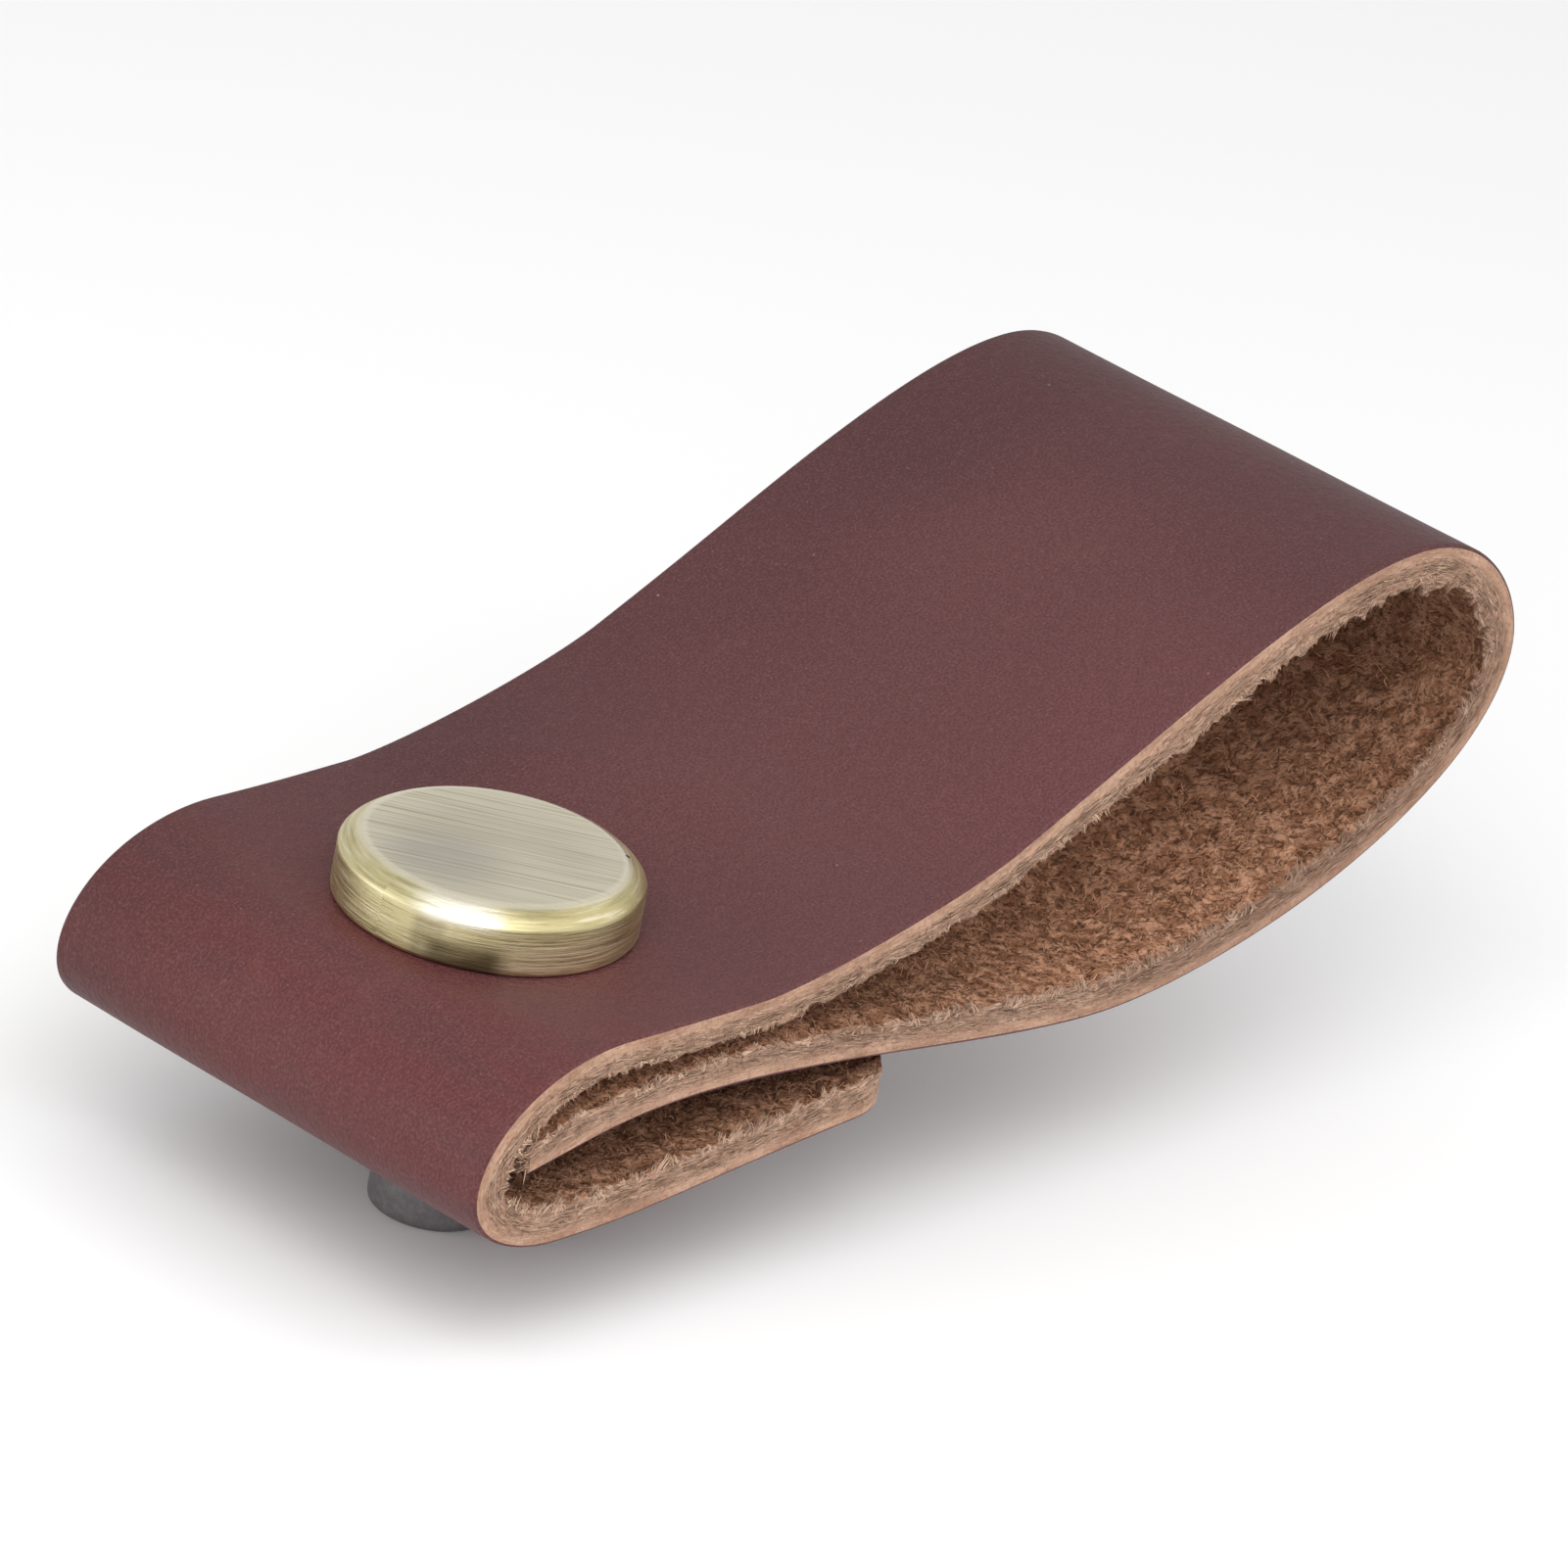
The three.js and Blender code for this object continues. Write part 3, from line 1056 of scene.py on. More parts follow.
    def _near_rim(self, depth: np.ndarray, inset: np.ndarray, reach: Range) -> np.ndarray:
        """Say how near places are to the rims of the flesh side.

        Args:
            depth: Height above the blank's middle.
            inset: Distance in from the cut edge.
            reach: Inset at which the rim starts to fade, and inset at which it has gone.

        Returns:
            1 at the rim and 0 away from it.
        """
        low = smoothstep(-depth, -self.leather * 0.05, self.leather * 0.5)
        return low * (1.0 - smoothstep(inset, *reach))

    def _wear(self, along: np.ndarray, across: np.ndarray, depth: np.ndarray) -> np.ndarray:
        """Wear the flesh side's rims back where two plies face each other.

        Args:
            along: Length from the tucked end.
            across: Place across the width.
            depth: Height above the blank's middle.

        Returns:
            How far each place is worn back.
        """
        inset = self.half_width(along) - np.abs(across)
        # The two edges lie apart in the noise, here and below, so that they differ
        place = np.column_stack([along / self.wear_length, np.sign(across) * 3.0])
        rough = 0.8 + 0.5 * value_noise(place, self.seed + 8)
        return self.rim_wear * rough * self._facing(along) * self._near_rim(depth, inset, self.wear_fade)

    def _rows(self) -> np.ndarray:
        """Choose where the blank is sampled, closer together round the tail's corners.

        Returns:
            Lengths from the tucked end to the tail's end.
        """
        straight_end = self.line.length - self.tail_corner
        straight = np.linspace(0.0, straight_end, int(straight_end / self.along_step) + 1)
        turns = np.linspace(0.0, math.pi / 2, self.corner_rows + 1)[1:]
        return np.r_[straight, straight_end + self.tail_corner * np.sin(turns)]

    def half_width(self, along: np.ndarray) -> np.ndarray:
        """Return half the blank's width at each length, less round the tail's corners."""
        past = np.clip(along - (self.line.length - self.tail_corner), 0.0, self.tail_corner)
        return self.width / 2 - self.tail_corner + np.sqrt(np.maximum(self.tail_corner**2 - past**2, 0.0))

    def _section(self) -> tuple[np.ndarray, np.ndarray, np.ndarray, np.ndarray, np.ndarray]:
        """Draw the ring round the blank's section: over the grain face, down the far flank and back.

        Returns:
            Share across, extra width, depth, outward direction and surface, one of each per ring point.
        """
        half, bend = self.leather / 2, self.grain_round
        even = np.linspace(-1.0, 1.0, self.across_cells + 1)
        shares = 0.55 * even + 0.45 * np.sin(even * math.pi / 2)
        flank = []
        for turn in np.linspace(0.0, math.pi / 2, self.round_cells + 1)[1:]:
            out, up = math.sin(turn), math.cos(turn)
            flank.append(RingPoint(1.0, bend * out, half - bend + bend * up, out, up, Side.GRAIN))
        for depth in np.linspace(half - bend, -half, self.edge_cells + 1)[1:]:
            flank.append(RingPoint(1.0, bend, depth, 1.0, 0.0, Side.EDGE))
        ring = [RingPoint(share, 0.0, half, 0.0, 1.0, Side.GRAIN) for share in shares]
        ring += flank
        ring += [RingPoint(share, 0.0, -half, 0.0, -1.0, Side.FLESH) for share in shares[::-1]]
        ring += [point.mirrored() for point in reversed(flank)]
        return (np.array([point.share for point in ring]), np.array([point.extra for point in ring]),
                np.array([point.depth for point in ring]),
                np.array([(point.out_across, point.out_depth) for point in ring]),
                np.array([point.side.value for point in ring]))

    def _relief(self, along: np.ndarray, across: np.ndarray, depth: np.ndarray,
                side: np.ndarray) -> np.ndarray:
        """Roughen the plain blank.

        Args:
            along: Length from the tucked end.
            across: Place across the width.
            depth: Height above the blank's middle.
            side: Surface of each place, as a number of Side.

        Returns:
            How far each place stands out of the blank.
        """
        flat = np.column_stack([along, across])
        waves = self.waves[0] * value_noise(flat / self.waves[1], self.seed)
        nap = self.coarse_nap[0] * value_noise(flat / self.coarse_nap[1], self.seed + 2)
        nap += self.fine_nap[0] * value_noise(flat / self.fine_nap[1], self.seed + 3)
        string, torn = (np.column_stack([along / length, depth / deep, np.sign(across) * apart])
                        for (length, deep), apart in ((self.strings, 5.0), (self.torn_places, 9.0)))
        loose = smoothstep(-depth, -self.leather * 0.30, self.leather * 0.35)
        edge = (0.02 + 0.10 * loose) * value_noise(string, self.seed + 4)
        edge += 0.17 * loose * value_noise(torn, self.seed + 5)
        return np.select([side == Side.GRAIN.value, side == Side.EDGE.value], [waves, edge], nap)

    def _tear(self, along: np.ndarray, across: np.ndarray, depth: np.ndarray,
              inset: np.ndarray) -> np.ndarray:
        """Tear the flesh side's rim, most of all on the top ply of the loop.

        Args:
            along: Length from the tucked end.
            across: Place across the width.
            depth: Height above the blank's middle.
            inset: Distance in from the cut edge.

        Returns:
            How far the torn rim hangs out of the blank.
        """
        place = np.column_stack([along, np.sign(across) * 7.0])
        # A flake stands as a narrow peak wherever the noise is near 0
        flakes = np.maximum(1.0 - 2.4 * np.abs(value_noise(place, self.seed + 6)), 0.0) ** 1.3
        ragged = flakes * (0.75 + 0.8 * value_noise(place / self.tear_length, self.seed + 7)) + 0.1
        by_place = 0.3 + 1.3 * smoothstep(along, *self.tear_rise) - smoothstep(along, *self.tear_fall)
        return self.rim_tear * ragged * self._near_rim(depth, inset, self.tear_fade) * by_place

    def sheet(self) -> bpy.types.Object:
        """Build the bent strap with its relief and its cut ends.

        Returns:
            The piece, whose faces are marked for the strap's finishes.
        """
        rows = self._rows()
        share, extra, depth, outward, side = self._section()
        shape = (len(rows), len(share))
        half_width = self.half_width(rows)[:, None]
        across = share * (half_width - self.grain_round) + extra
        inset = half_width - np.abs(across)
        along = np.broadcast_to(rows[:, None], shape)
        deep, sides = np.broadcast_to(depth, shape), np.broadcast_to(side, shape)
        relief = self._relief(along.ravel(), across.ravel(), deep.ravel(), sides.ravel()).reshape(shape)
        tear = self._tear(along.ravel(), across.ravel(), deep.ravel(), inset.ravel()).reshape(shape)
        across = across + relief * outward[:, 0]
        deep = deep + relief * outward[:, 1] - tear
        flat = np.column_stack([along.ravel(), across.ravel(), deep.ravel()])
        # A face between two surfaces belongs to the cut edge
        face_side = np.where(side == np.roll(side, -1), side, Side.EDGE.value)
        caps = np.vstack([self._cap(0, len(side))[:, ::-1], self._cap(len(rows) - 1, len(side))])
        faces = np.vstack([ring_quads(*shape), caps])
        face_side = np.r_[np.tile(face_side, len(rows) - 1), np.full(len(caps), Side.EDGE.value)]
        strap = mesh_piece("strap_leather", self.bend(*flat.T), faces)
        self._mark(strap.data, flat, face_side)
        return strap

    def _cap(self, row: int, count: int) -> np.ndarray:
        """Close one end of the blank.

        Args:
            row: Which ring of points lies at that end.
            count: How many points a ring has.

        Returns:
            Point numbers, one row of four per face.
        """
        # The wide middle is closed from the grain face to the flesh side, and each flank on its own
        first = np.arange(self.across_cells)
        opposite = self.round_cells + self.edge_cells + 2 * self.across_cells + 1
        quads = np.column_stack([first, first + 1, opposite - first - 1, opposite - first])
        far = np.arange(self.across_cells, opposite - self.across_cells + 1)
        near = np.r_[np.arange(opposite, count), 0]
        fans = []
        for rim in (far, near):
            half = len(rim) // 2
            low, high = rim[:half], rim[::-1][:half]
            fans.append(np.column_stack([low[:-1], low[1:], high[1:], high[:-1]]))
        return np.vstack([quads, *fans]) + row * count

    @staticmethod
    def _mark(mesh: bpy.types.Mesh, flat: np.ndarray, face_side: np.ndarray) -> None:
        """Give each face its finish, and a map of its place on the blank in millimetres.

        Args:
            mesh: The mesh to mark.
            flat: Length, width and depth on the blank, one row per point.
            face_side: Surface of each face, as a number of Side.
        """
        mesh.polygons.foreach_set("material_index", face_side.astype(np.int32))
        corner_point = np.zeros(len(mesh.loops), dtype=np.int32)
        mesh.loops.foreach_get("vertex_index", corner_point)
        corner_side = np.repeat(face_side, len(corner_point) // len(face_side))
        along, across, depth = flat[corner_point].T
        second = np.where(corner_side == Side.EDGE.value, depth, across)
        blank = mesh.uv_layers.new(name="blank")
        blank.data.foreach_set("uv", np.column_stack([along, second]).astype(np.float32).ravel())

    def punch(self, strap: bpy.types.Object) -> None:
        """Punch the three plies for the stem.

        Args:
            strap: The bent strap, with its finishes.
        """
        steps = self.punch_steps
        turns = np.linspace(0.0, 2.0 * math.pi, steps, endpoint=False)
        circle = np.column_stack([np.cos(turns), np.sin(turns)]) * self.punch_radius
        levels = [0.0, self.seat + self.strap_lift + self.punch_spare]
        rings = [np.column_stack([circle, np.full(steps, level)]) for level in levels]
        points = np.vstack(rings + [[[0.0, 0.0, level]] for level in levels])
        low = np.arange(steps)
        low_after = (low + 1) % steps
        high, high_after = low + steps, low_after + steps
        bottom, top = np.full(steps, 2 * steps), np.full(steps, 2 * steps + 1)
        corners = [(low, low_after, high_after), (low, high_after, high),
                   (low_after, low, bottom), (high, high_after, top)]
        faces = np.vstack([np.column_stack(triple) for triple in corners])
        tool = mesh_piece("punch", points, faces)
        for finish in strap.data.materials:
            tool.data.materials.append(finish)
        round_wall = np.arctan2(points[:, 1], points[:, 0]) * self.punch_radius
        # The wall is far higher than the leather is thick, so its map is squeezed to the leather's depth
        depth = self.punch_map * (points[:, 2] - self.seat / 2)
        flat = np.column_stack([round_wall, points[:, 1], depth])
        self._mark(tool.data, flat, np.full(len(faces), Side.EDGE.value))
        cut = strap.modifiers.new("punch", "BOOLEAN")
        cut.operation, cut.solver, cut.object = "DIFFERENCE", "MANIFOLD", tool
        made = bpy.data.meshes.new_from_object(strap.evaluated_get(bpy.context.evaluated_depsgraph_get()))
        strap.modifiers.remove(cut)
        strap.data = made
        bpy.data.objects.remove(tool)

    def strand_piece(self, name: str, strands: Strands) -> bpy.types.Object:
        """Build one piece of many tapered three-sided fibres.

        Args:
            name: The piece's name.
            strands: The fibres on the blank.

        Returns:
            The piece, with each fibre's tone on its points.
        """
        count, steps = strands.along.shape
        path = self.bend(strands.along.ravel(), strands.across.ravel(), strands.depth.ravel())
        path = path.reshape(count, steps, 3)
        tangent = np.gradient(path, axis=1)
        tangent /= np.linalg.norm(tangent, axis=2, keepdims=True) + 1e-9
        # The rings of points stand on an axis that the fibre doesn't run along
        is_across = np.abs(tangent[:, :, 1:2]) >= 0.8
        side = np.cross(tangent, np.where(is_across, [0.0, 0.0, 1.0], [0.0, 1.0, 0.0]))
        side /= np.linalg.norm(side, axis=2, keepdims=True)
        up = np.cross(tangent, side)
        radius = strands.radius[:, None, None] * np.linspace(1.0, self.fibre_taper, steps - 1)[None, :, None]
        rings = []
        for turn in (0.0, 2.0 * math.pi / 3, 4.0 * math.pi / 3):
            out = side[:, :-1] * math.cos(turn) + up[:, :-1] * math.sin(turn)
            rings.append(path[:, :-1] + out * radius)
        body = np.stack(rings, axis=2).reshape(count, (steps - 1) * 3, 3)
        points = np.concatenate([body, path[:, -1:]], axis=1)
        per = points.shape[1]
        faces = [[0, 2, 1]]
        for step in range(steps - 1):
            for corner in range(3):
                low, low_next = step * 3 + corner, step * 3 + (corner + 1) % 3
                if step < steps - 2:
                    faces += [[low, low_next, low_next + 3], [low, low_next + 3, low + 3]]
                else:
                    faces.append([low, low_next, per - 1])
        all_faces = (np.array(faces)[None] + (np.arange(count) * per)[:, None, None]).reshape(-1, 3)
        piece = mesh_piece(name, points.reshape(-1, 3), all_faces)
        tone = piece.data.attributes.new("tone", "FLOAT", "POINT")
        tone.data.foreach_set("value", np.repeat(strands.tone, per).astype(np.float32))
        return piece

    def nap(self, density: float, low: float, high: float, random: np.random.Generator,
            margin: float = 0.0) -> Strands:
        """Scatter curled fibres over the flesh side.

        Args:
            density: Fibres on each square millimetre.
            low: Length at which they start.
            high: Length at which they stop.
            random: The source of chance.
            margin: Keep only those nearer than this to a cut edge, or all where it is 0.

        Returns:
            The fibres.
        """
        count = int(density * (high - low) * self.width)
        along = random.uniform(low, high, count)
        across = random.uniform(-1.0, 1.0, count) * (self.half_width(along) - 0.15)
        if margin > 0.0:
            keep = np.abs(across) > self.half_width(along) - margin
            along, across = along[keep], across[keep]
            count = len(along)
        foot = np.column_stack([along, across])
        patch = value_noise(foot / self.nap_patch, self.seed + 20)
        heading = 2.2 * math.pi * value_noise(foot / self.nap_swirl, self.seed + 21)
        heading += random.normal(0.0, 0.75, count)
        reach = random.uniform(*self.nap_reach, count)
        curl = random.normal(0.0, 1.5, count)
        lift = random.uniform(*self.nap_lift, count) * (1.0 + 0.5 * patch)
        turn = heading[:, None] + curl[:, None] * FIBRE_STEPS
        step = reach[:, None] / (FIBRE_STEPS.size - 1)
        along_path = along[:, None] + np.cumsum(np.cos(turn) * step, axis=1) - np.cos(turn[:, :1]) * step
        across_path = across[:, None] + np.cumsum(np.sin(turn) * step, axis=1) - np.sin(turn[:, :1]) * step
        height = -0.12 + lift[:, None] * np.sin(FIBRE_STEPS * 2.3) * 1.25
        limit = self.half_width(along)[:, None] + 0.12
        # Painted shade: nap fibres deep in the loop, under the front fold and between close plies are toned
        # darker
        hollow_shade = 0.36 * self.inmost_nap.on_blank(along) + 0.34 * smoothstep(along, *self.under_fold)
        hollow_shade += 0.24 * self._facing(along)
        return Strands(
            tone=np.clip(0.66 + 0.28 * patch - hollow_shade + random.normal(0.0, 0.16, count), 0.0, 1.0),
            along=np.clip(along_path, self.end_margin, self.line.length - self.end_margin),
            across=np.clip(across_path, -limit, limit),
            depth=-self.leather / 2 - height,
            radius=random.uniform(*self.nap_radius, count),
        )

    def edge_strings(self, side: int, random: np.random.Generator) -> Strands:
        """Lay fibres along one cut edge, looser towards the flesh side.

        Args:
            side: -1 for the near edge or 1 for the far one.
            random: The source of chance.

        Returns:
            The fibres.
        """
        count = int(self.strings_per_mm * self.line.length)
        along = random.uniform(0.4, self.line.length - self.tail_corner, count)
        loose = random.beta(1.5, 1.1, count)
        depth = self.leather / 2 - 0.35 - loose * (self.leather - 0.40)
        reach = random.uniform(*self.string_reach, count) * random.choice([-1.0, 1.0], count)
        slope = random.normal(0.0, 0.10, count) - 0.05 * loose
        lift = (0.02 + 0.15 * loose) * random.uniform(0.3, 1.0, count)
        out = -0.05 + lift[:, None] * np.sin(FIBRE_STEPS * 2.6)
        deep = depth[:, None] + slope[:, None] * np.abs(reach)[:, None] * FIBRE_STEPS
        deep += 0.05 * np.sin(FIBRE_STEPS * 5.0 + random.uniform(0.0, 6.0, count)[:, None])
        path_along = along[:, None] + reach[:, None] * FIBRE_STEPS
        radius = random.uniform(*self.string_radius, count)
        # Loose strings are toned darker, and those on the loop's lower arm more so as painted shade
        shade = (0.10 + 0.30 * LOWER_ARM.on_blank(along)) * loose
        return Strands(
            along=np.clip(path_along, self.end_margin, self.line.length - self.tail_corner),
            across=side * (self.width / 2 + out),
            depth=np.minimum(deep, self.leather / 2 - 0.3),
            radius=radius,
            tone=np.clip(random.normal(0.55, 0.30, count) - shade, 0.0, 1.0),
        )

    def rim_tufts(self, side: int, random: np.random.Generator) -> Strands:
        """Hang torn tufts along the line where one cut edge meets the flesh side.

        Args:
            side: -1 for the near edge or 1 for the far one.
            random: The source of chance.

        Returns:
            The fibres.
        """
        tufts = int(self.tufts_per_mm * self.line.length)
        centre = random.uniform(0.5, self.line.length - self.tail_corner, tufts)
        low, high = self.short_tufts
        is_short = (centre < self.short_tufts_before) | ((centre > low) & (centre < high))
        size = (0.30 + random.gamma(2.0, 0.20, tufts)) * np.where(is_short, 0.45, 1.0)
        lean = size * random.normal(0.0, 0.55, tufts)
        # Tufts on the loop's lower arm are toned darker as painted shade
        tone = random.normal(0.60, 0.18, tufts) - 0.28 * LOWER_ARM.on_blank(centre)
        tuft = np.repeat(np.arange(tufts), self.tuft_fibres)
        count = len(tuft)
        foot = random.normal(0.0, 1.0, count) * (0.14 + 0.20 * size[tuft])
        tip = lean[tuft] + random.normal(0.0, 0.04, count)
        short = 0.5 * np.minimum(np.abs(foot) / 0.5, 1.0)
        reach = size[tuft] * random.uniform(0.5, 1.0, count) * (1.0 - short)
        sway = random.normal(0.0, 0.06, count)[:, None] * np.sin(FIBRE_STEPS * 4.0)
        along = centre[tuft][:, None] + foot[:, None] * (1.0 - FIBRE_STEPS) + tip[:, None] * FIBRE_STEPS
        down = reach[:, None] * FIBRE_STEPS**0.8
        start = random.uniform(0.05, 0.40, count)[:, None] * (1.0 - FIBRE_STEPS)
        out = random.uniform(-0.40, 0.08, count)[:, None]
        out = out + random.normal(0.0, 0.10, count)[:, None] * FIBRE_STEPS
        return Strands(
            along=np.clip(along + sway, self.end_margin, self.line.length - self.end_margin),
            across=side * (self.width / 2 + np.minimum(out, 0.18)),
            depth=-self.leather / 2 + start - down,
            radius=random.uniform(*self.tuft_radius, count),
            tone=np.clip(tone[tuft] + random.normal(0.0, 0.14, count), 0.0, 1.0),
        )

    def end_fuzz(self, random: np.random.Generator) -> Strands:
        """Let fibres stand out of the tucked end, between the plies of the front fold.

        Args:
            random: The source of chance.

        Returns:
            The fibres.
        """
        count = int(self.fuzz_per_mm * self.width)
        side = random.choice([-1.0, 1.0], count)
        inset = np.minimum(random.exponential(0.16, count) * self.width, self.width / 2)
        across = side * (self.width / 2 - 0.05 - inset)
        depth = random.uniform(-0.5, 0.42, count) * self.leather
        reach = random.uniform(*self.fuzz_reach, count)
        sag = random.normal(0.15, 0.35, count)[:, None] * FIBRE_STEPS**2
        drift = random.normal(0.0, 0.45, count)[:, None] * FIBRE_STEPS**1.5
        limit = self.width / 2 + 0.15
        return Strands(
            along=0.25 - reach[:, None] * FIBRE_STEPS,
            across=np.clip(across[:, None] + drift, -limit, limit),
            depth=depth[:, None] - sag,
            radius=random.uniform(*self.fuzz_radius, count),
            tone=np.clip(random.normal(0.50, 0.22, count), 0.0, 1.0),
        )

    def build(self) -> None:
        """Build the strap, then its fibres, and dress each piece."""
        sheet = self.sheet()
        for finish in (GrainFinish(), EdgeFinish(), FleshFinish()):
            sheet.data.materials.append(finish.material())
        self.punch(sheet)
        place_piece(sheet, STRAP_NODE)
        random = np.random.default_rng(self.fibre_seed)
        nap = FibreFinish("flesh_nap", dark=(0.165, 0.074, 0.040), pale=(0.72, 0.395, 0.240)).material()
        strings = FibreFinish("edge_fibres", dark=(0.22, 0.125, 0.082), pale=(0.70, 0.48, 0.35)).material()
        (loop_start, loop_end), tail_start = self.loop_span, self.tail_nap_from
        pieces = [
            ("loop_nap", self.nap(self.loop_density, loop_start, loop_end, random), nap),
            ("tail_nap", self.nap(self.tail_density, tail_start, self.line.length, random), nap),
            ("inner_nap", self.nap(self.margin_density, 0.0, loop_start, random, self.nap_margin), nap),
            ("ply_nap", self.nap(self.margin_density, loop_end, tail_start, random, self.nap_margin), nap),
            ("front_edge_fibres", self.edge_strings(-1, random), strings),
            ("back_edge_fibres", self.edge_strings(1, random), strings),
            ("front_rim_tufts", self.rim_tufts(-1, random), strings),
            ("back_rim_tufts", self.rim_tufts(1, random), strings),
            ("tuck_end_fuzz", self.end_fuzz(random), strings),
        ]
        for name, strands, material in pieces:
            piece = self.strand_piece(name, strands)
            piece.data.materials.append(material)
            place_piece(piece, STRAP_NODE)


@dataclass
class Button:
    """The turned head with its stem and its threaded blind hole."""

    head_radius: float = 10.0
    head_height: float = HEAD_HEIGHT
    side_height: float = HEAD_SIDE
    face_radius: float = FACE_RADIUS
    rim_slope: float = 30.0
    underside_round: float = 0.3
    rim_round: float = 0.30
    stem_radius: float = 4.15
    stem_length: float = SEAT
    stem_round: float = 0.5
    hole_radius: float = 1.65
    hole_depth: float = 13.0
    hole_countersink: float = 0.4
    drill_point: float = 1.0
    thread_pitch: float = 0.7
    thread_depth: float = 0.32
    thread_steps: int = 7
    thread_runout: float = 0.1
    axis_gap: float = 0.02
    skin_height: float = 0.03
    skin_length: float = 1.2
    skin_turn: float = 4.0
    stem_rows: int = 60
    side_rows: int = 10
    face_rows: int = 30
    round_points: int = 8
    shoulder_points: int = 16
    rim_points: int = 6
    segments: int = 192
    seed: int = 31

    def _profile(self) -> np.ndarray:
        """Draw the button's half section.

        Returns:
            Radius and height, one row each, from the hole's bottom out to the face's middle.
        """
        seat, top = self.stem_length, self.stem_length + self.head_height
        side_foot, side_top = seat + self.underside_round, seat + self.side_height
        face_edge = self.face_radius - self.rim_round
        thread_step = self.thread_pitch / self.thread_steps
        profile = [(self.axis_gap, self.hole_depth + self.drill_point), (self.hole_radius, self.hole_depth)]
        levels = np.arange(self.hole_depth - self.thread_runout, self.hole_countersink, -thread_step)
        profile += [(self.hole_radius, level) for level in levels]
        profile.append((self.hole_radius + self.hole_countersink, 0.0))
        profile += self._round(self.stem_radius, 0.0, self.stem_round)
        stem_levels = np.linspace(self.stem_round, seat, self.stem_rows)[1:]
        profile += [(self.stem_radius, level) for level in stem_levels]
        profile += self._round(self.head_radius, seat, self.underside_round)
        side_levels = np.linspace(side_foot, side_top, self.side_rows)[1:]
        profile += [(self.head_radius, level) for level in side_levels]
        profile += self._shoulder(seat, top)
        face_radii = np.linspace(face_edge, self.axis_gap, self.face_rows)[1:]
        profile += [(radius, top) for radius in face_radii]
        return np.array(profile)

    def _round(self, radius: float, height: float, size: float) -> list[tuple[float, float]]:
        """Round a lower corner of the section.

        Args:
            radius: The corner's radius from the axis.
            height: The corner's height.
            size: The radius of the round.

        Returns:
            Radius and height of each point, from below to the side.
        """
        return [(radius - size + size * math.sin(turn), height + size - size * math.cos(turn))
                for turn in np.linspace(0.0, math.pi / 2, self.round_points)]

    def _shoulder(self, seat: float, top: float) -> list[tuple[float, float]]:
        """Draw the shoulder's curve up to the face, with a softened rim.

        Args:
            seat: Height of the head's underside.
            top: Height of its face.

        Returns:
            Radius and height of each point.
        """
        drop = (self.head_radius - self.face_radius) * math.tan(math.radians(self.rim_slope))
        low = np.array([self.head_radius, seat + self.side_height])
        pull = np.array([self.head_radius, top - drop])
        high = np.array([self.face_radius, top])
        shares = np.linspace(0.0, 1.0, self.shoulder_points)[1:, None]
        curve = (1 - shares) ** 2 * low + 2 * shares * (1 - shares) * pull + shares**2 * high
        before = curve[curve[:, 0] > self.face_radius + self.rim_round]
        start = before[-1]
        end = np.array([self.face_radius - self.rim_round, top])
        turns = np.linspace(0.0, 1.0, self.rim_points)[1:, None]
        rim = (1 - turns) ** 2 * start + 2 * turns * (1 - turns) * high + turns**2 * end
        return [tuple(point) for point in np.vstack([before, rim])]

    def piece(self) -> bpy.types.Object:
        """Turn the profile, cut its thread and roughen the stem's skin.

        Returns:
            The piece.
        """
        profile = self._profile()
        rows, count = len(profile), self.segments
        turns = np.linspace(0.0, 2.0 * math.pi, count, endpoint=False)
        radius, height = (np.repeat(profile[:, [axis]], count, axis=1) for axis in (0, 1))
        angle = np.repeat(turns[None, :], rows, axis=0)
        cos, sin = np.cos(angle), np.sin(angle)
        in_hole = np.isclose(radius, self.hole_radius) & (height < self.hole_depth - self.thread_runout / 2)
        on_stem = np.isclose(radius, self.stem_radius)
        phase = height / self.thread_pitch - angle / (2.0 * math.pi)
        groove = 1.0 - np.abs(2.0 * (phase - np.floor(phase)) - 1.0)
        skin_place = [(cos * self.skin_turn).ravel(), (sin * self.skin_turn).ravel(), height.ravel()]
        skin = value_noise(np.column_stack(skin_place) / self.skin_length, self.seed)
        skin = skin.reshape(radius.shape) * self.skin_height
        radius = radius + np.where(in_hole, groove * self.thread_depth, 0.0) + np.where(on_stem, skin, 0.0)
        points = np.column_stack([(radius * cos).ravel(), (radius * sin).ravel(), height.ravel()])
        piece = mesh_piece("brass_button", points, ring_quads(rows, count))
        self._close(piece.data, rows, count)
        return piece

    @staticmethod
    def _close(mesh: bpy.types.Mesh, rows: int, count: int) -> None:
        """Close the small rings left on the axis at the profile's two ends.

        Args:
            mesh: The turned mesh.
            rows: How many rings it has.
            count: How many points each ring has.
        """
        work = bmesh.new()
        work.from_mesh(mesh)
        work.verts.ensure_lookup_table()
        work.faces.new([work.verts[index] for index in range(count - 1, -1, -1)]).smooth = True
        work.faces.new([work.verts[(rows - 1) * count + index] for index in range(count)]).smooth = True
        work.to_mesh(mesh)
        work.free()

    def build(self) -> None:
        """Build the button with its stem, and dress it."""
        piece = self.piece()
        piece.data.materials.append(BrassFinish().material())
        place_piece(piece, BUTTON_NODE)


def outward(azimuth: float, elevation: float) -> Vector:
    """Return the unit vector from the pull towards an azimuth and an elevation in degrees."""
    turn, rise = math.radians(azimuth), math.radians(elevation)
    return Vector((math.sin(turn) * math.cos(rise), -math.cos(turn) * math.cos(rise), math.sin(rise)))


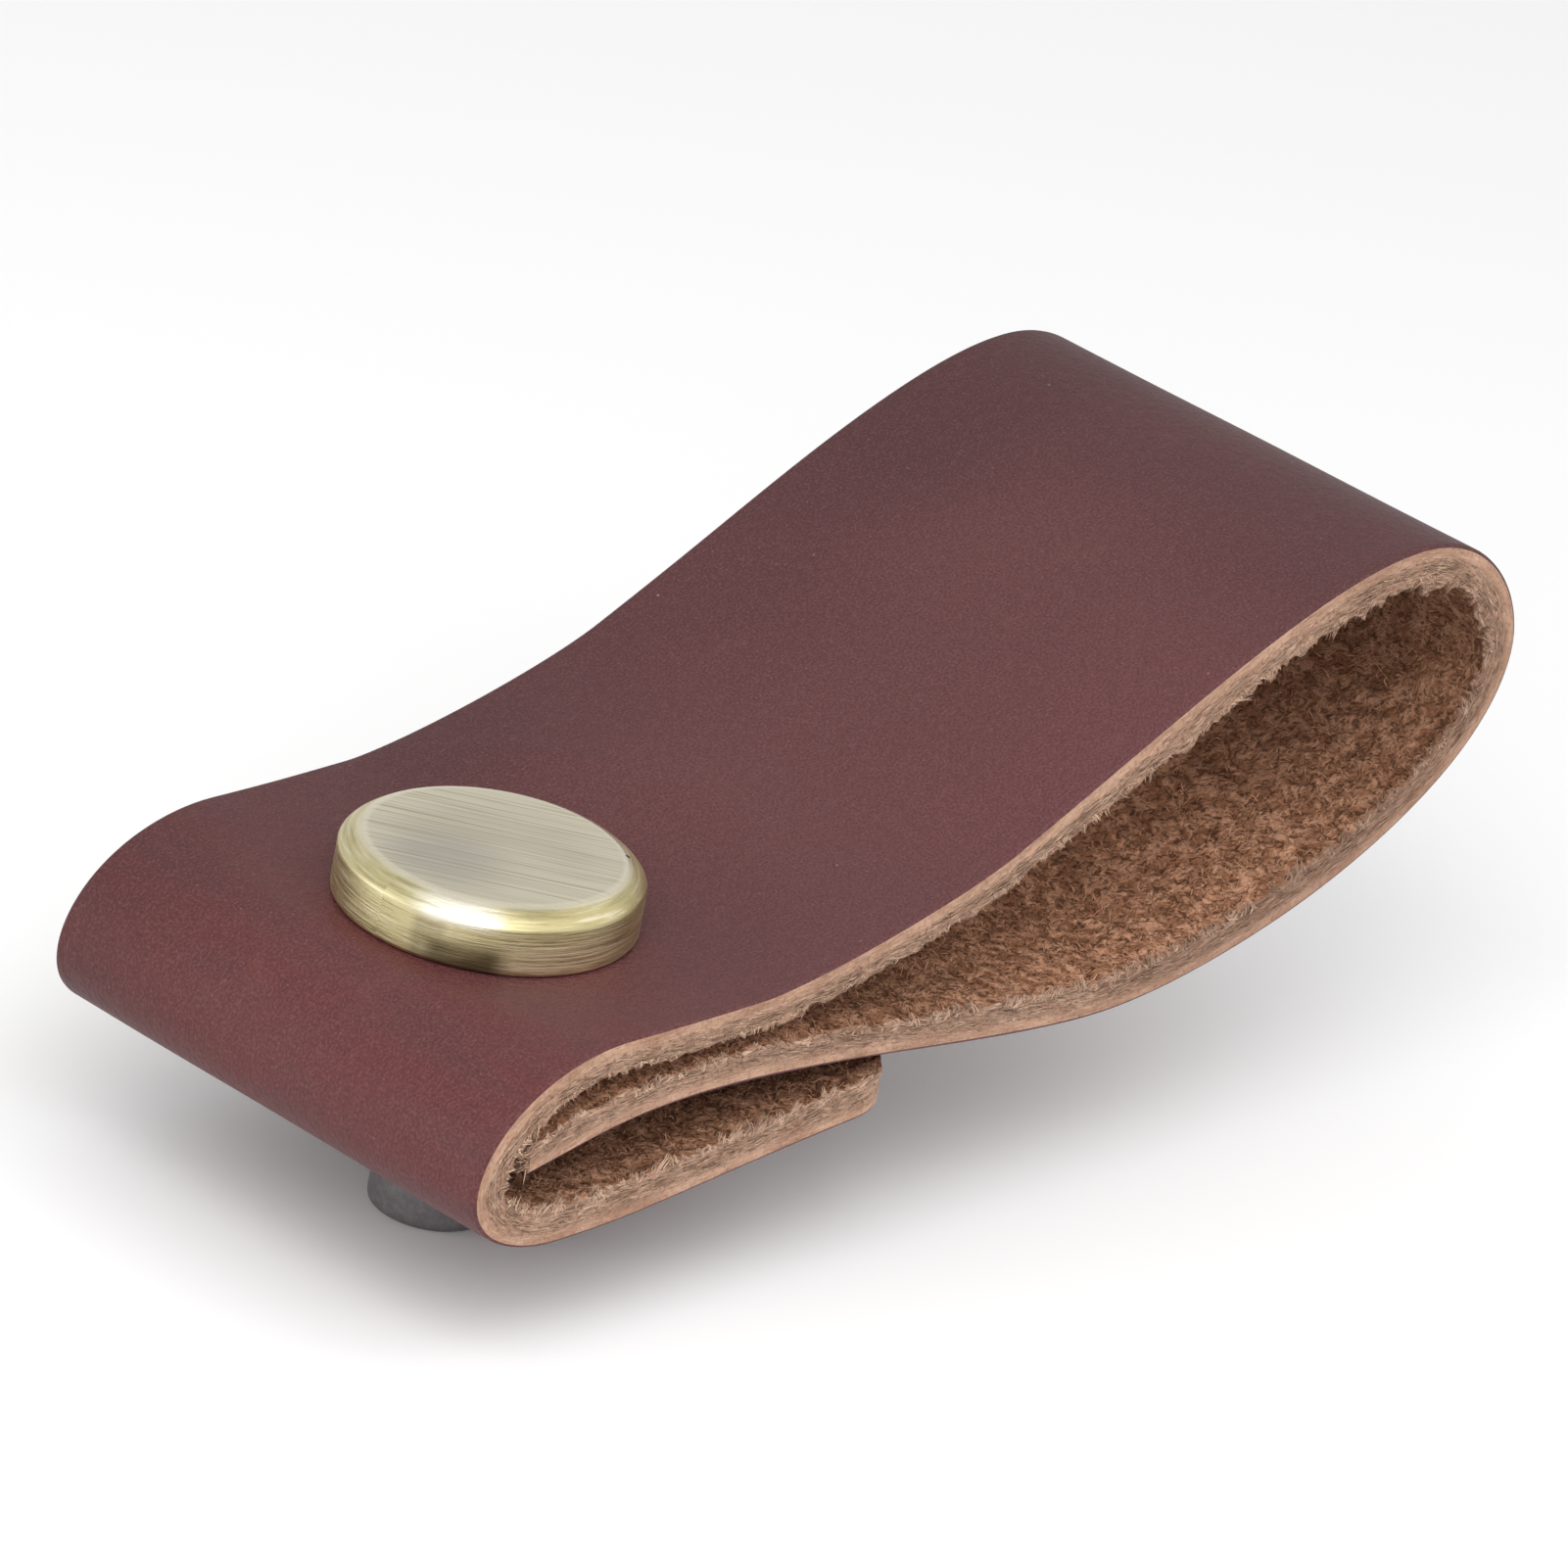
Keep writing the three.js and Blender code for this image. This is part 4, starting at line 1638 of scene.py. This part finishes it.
@dataclass(frozen=True)
class View:
    """The photograph's camera, from the point it looks at, with its clipping distances in metres."""

    target: Place = (14.32, -10.6, 31.78)
    distance: float = 748.0
    azimuth: float = -51.39
    elevation: float = 23.88
    roll: float = 11.03
    lens: float = 269.8
    sensor: float = 36.0
    clip: Range = (0.01, 20.0)

    def build(self) -> None:
        """Make the scene's camera."""
        out = outward(self.azimuth, self.elevation)
        data = bpy.data.cameras.new("camera")
        data.lens, data.sensor_width = self.lens, self.sensor
        data.clip_start, data.clip_end = self.clip
        camera = bpy.data.objects.new("camera", data)
        place = Matrix.Translation((Vector(self.target) + out * self.distance) * MM)
        rotation = (-out).to_track_quat("-Z", "Y").to_matrix().to_4x4()
        camera.matrix_world = place @ rotation @ Matrix.Rotation(math.radians(self.roll), 4, "Z")
        bpy.context.scene.collection.objects.link(camera)
        bpy.context.scene.camera = camera


@dataclass(frozen=True)
class Lamp:
    """A soft square light, aimed at the pull, with its distance, its size and its aim in metres."""

    name: str
    azimuth: float
    elevation: float
    distance: float
    size: float
    power: float
    aim: Place = (0.03, 0.0, 0.02)

    def build(self) -> None:
        """Make the light."""
        data = bpy.data.lights.new(self.name, "AREA")
        data.shape, data.size, data.energy = "SQUARE", self.size, self.power
        lamp = bpy.data.objects.new(self.name, data)
        out = outward(self.azimuth, self.elevation)
        lamp.location = Vector(self.aim) + out * self.distance
        lamp.rotation_euler = (-out).to_track_quat("-Z", "Y").to_euler()
        bpy.context.scene.collection.objects.link(lamp)


@dataclass(frozen=True)
class Studio:
    """A plain pale floor under soft light."""

    floor_shade: Colour = (0.92, 0.92, 0.92)
    floor_side: float = 6000.0
    floor_drop: float = 0.02
    sky_shade: Colour = (1.0, 1.0, 1.0)
    sky: float = 0.70
    lamps: tuple[Lamp, ...] = (
        Lamp("key", azimuth=-62.0, elevation=42.0, distance=0.42, size=0.30, power=1.04),
        Lamp("near", azimuth=-12.0, elevation=46.0, distance=0.34, size=0.30, power=0.20),
        Lamp("front", azimuth=30.0, elevation=28.0, distance=1.2, size=1.6, power=3.4),
        Lamp("side", azimuth=70.0, elevation=42.0, distance=1.0, size=0.6, power=0.6),
        Lamp("left", azimuth=-128.0, elevation=10.0, distance=1.0, size=0.30, power=1.4),
    )

    def build(self) -> None:
        """Make the floor, the sky and the lamps."""
        half, low = self.floor_side / 2, -self.floor_drop
        corners = np.array([[-half, -half, low], [half, -half, low], [half, half, low], [-half, half, low]])
        floor = mesh_piece("floor", corners, np.array([[0, 1, 2, 3]]))
        shade = Bench("pale_floor").finish(Base_Color=self.floor_shade, Roughness=0.9, Specular_IOR_Level=0.1)
        floor.data.materials.append(shade)
        world = bpy.data.worlds.new("studio")
        world.use_nodes = True
        background = world.node_tree.nodes["Background"]
        background.inputs["Color"].default_value = (*self.sky_shade, 1.0)
        background.inputs["Strength"].default_value = self.sky
        bpy.context.scene.world = world
        for lamp in self.lamps:
            lamp.build()
        bpy.context.scene.view_settings.view_transform = "Standard"


def main() -> None:
    """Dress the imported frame."""
    logging.basicConfig(level=logging.INFO, format="%(message)s")
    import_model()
    for part in (View(), Studio(), FoldedStrap(), Button()):
        part.build()


if __name__ == "__main__":
    main()
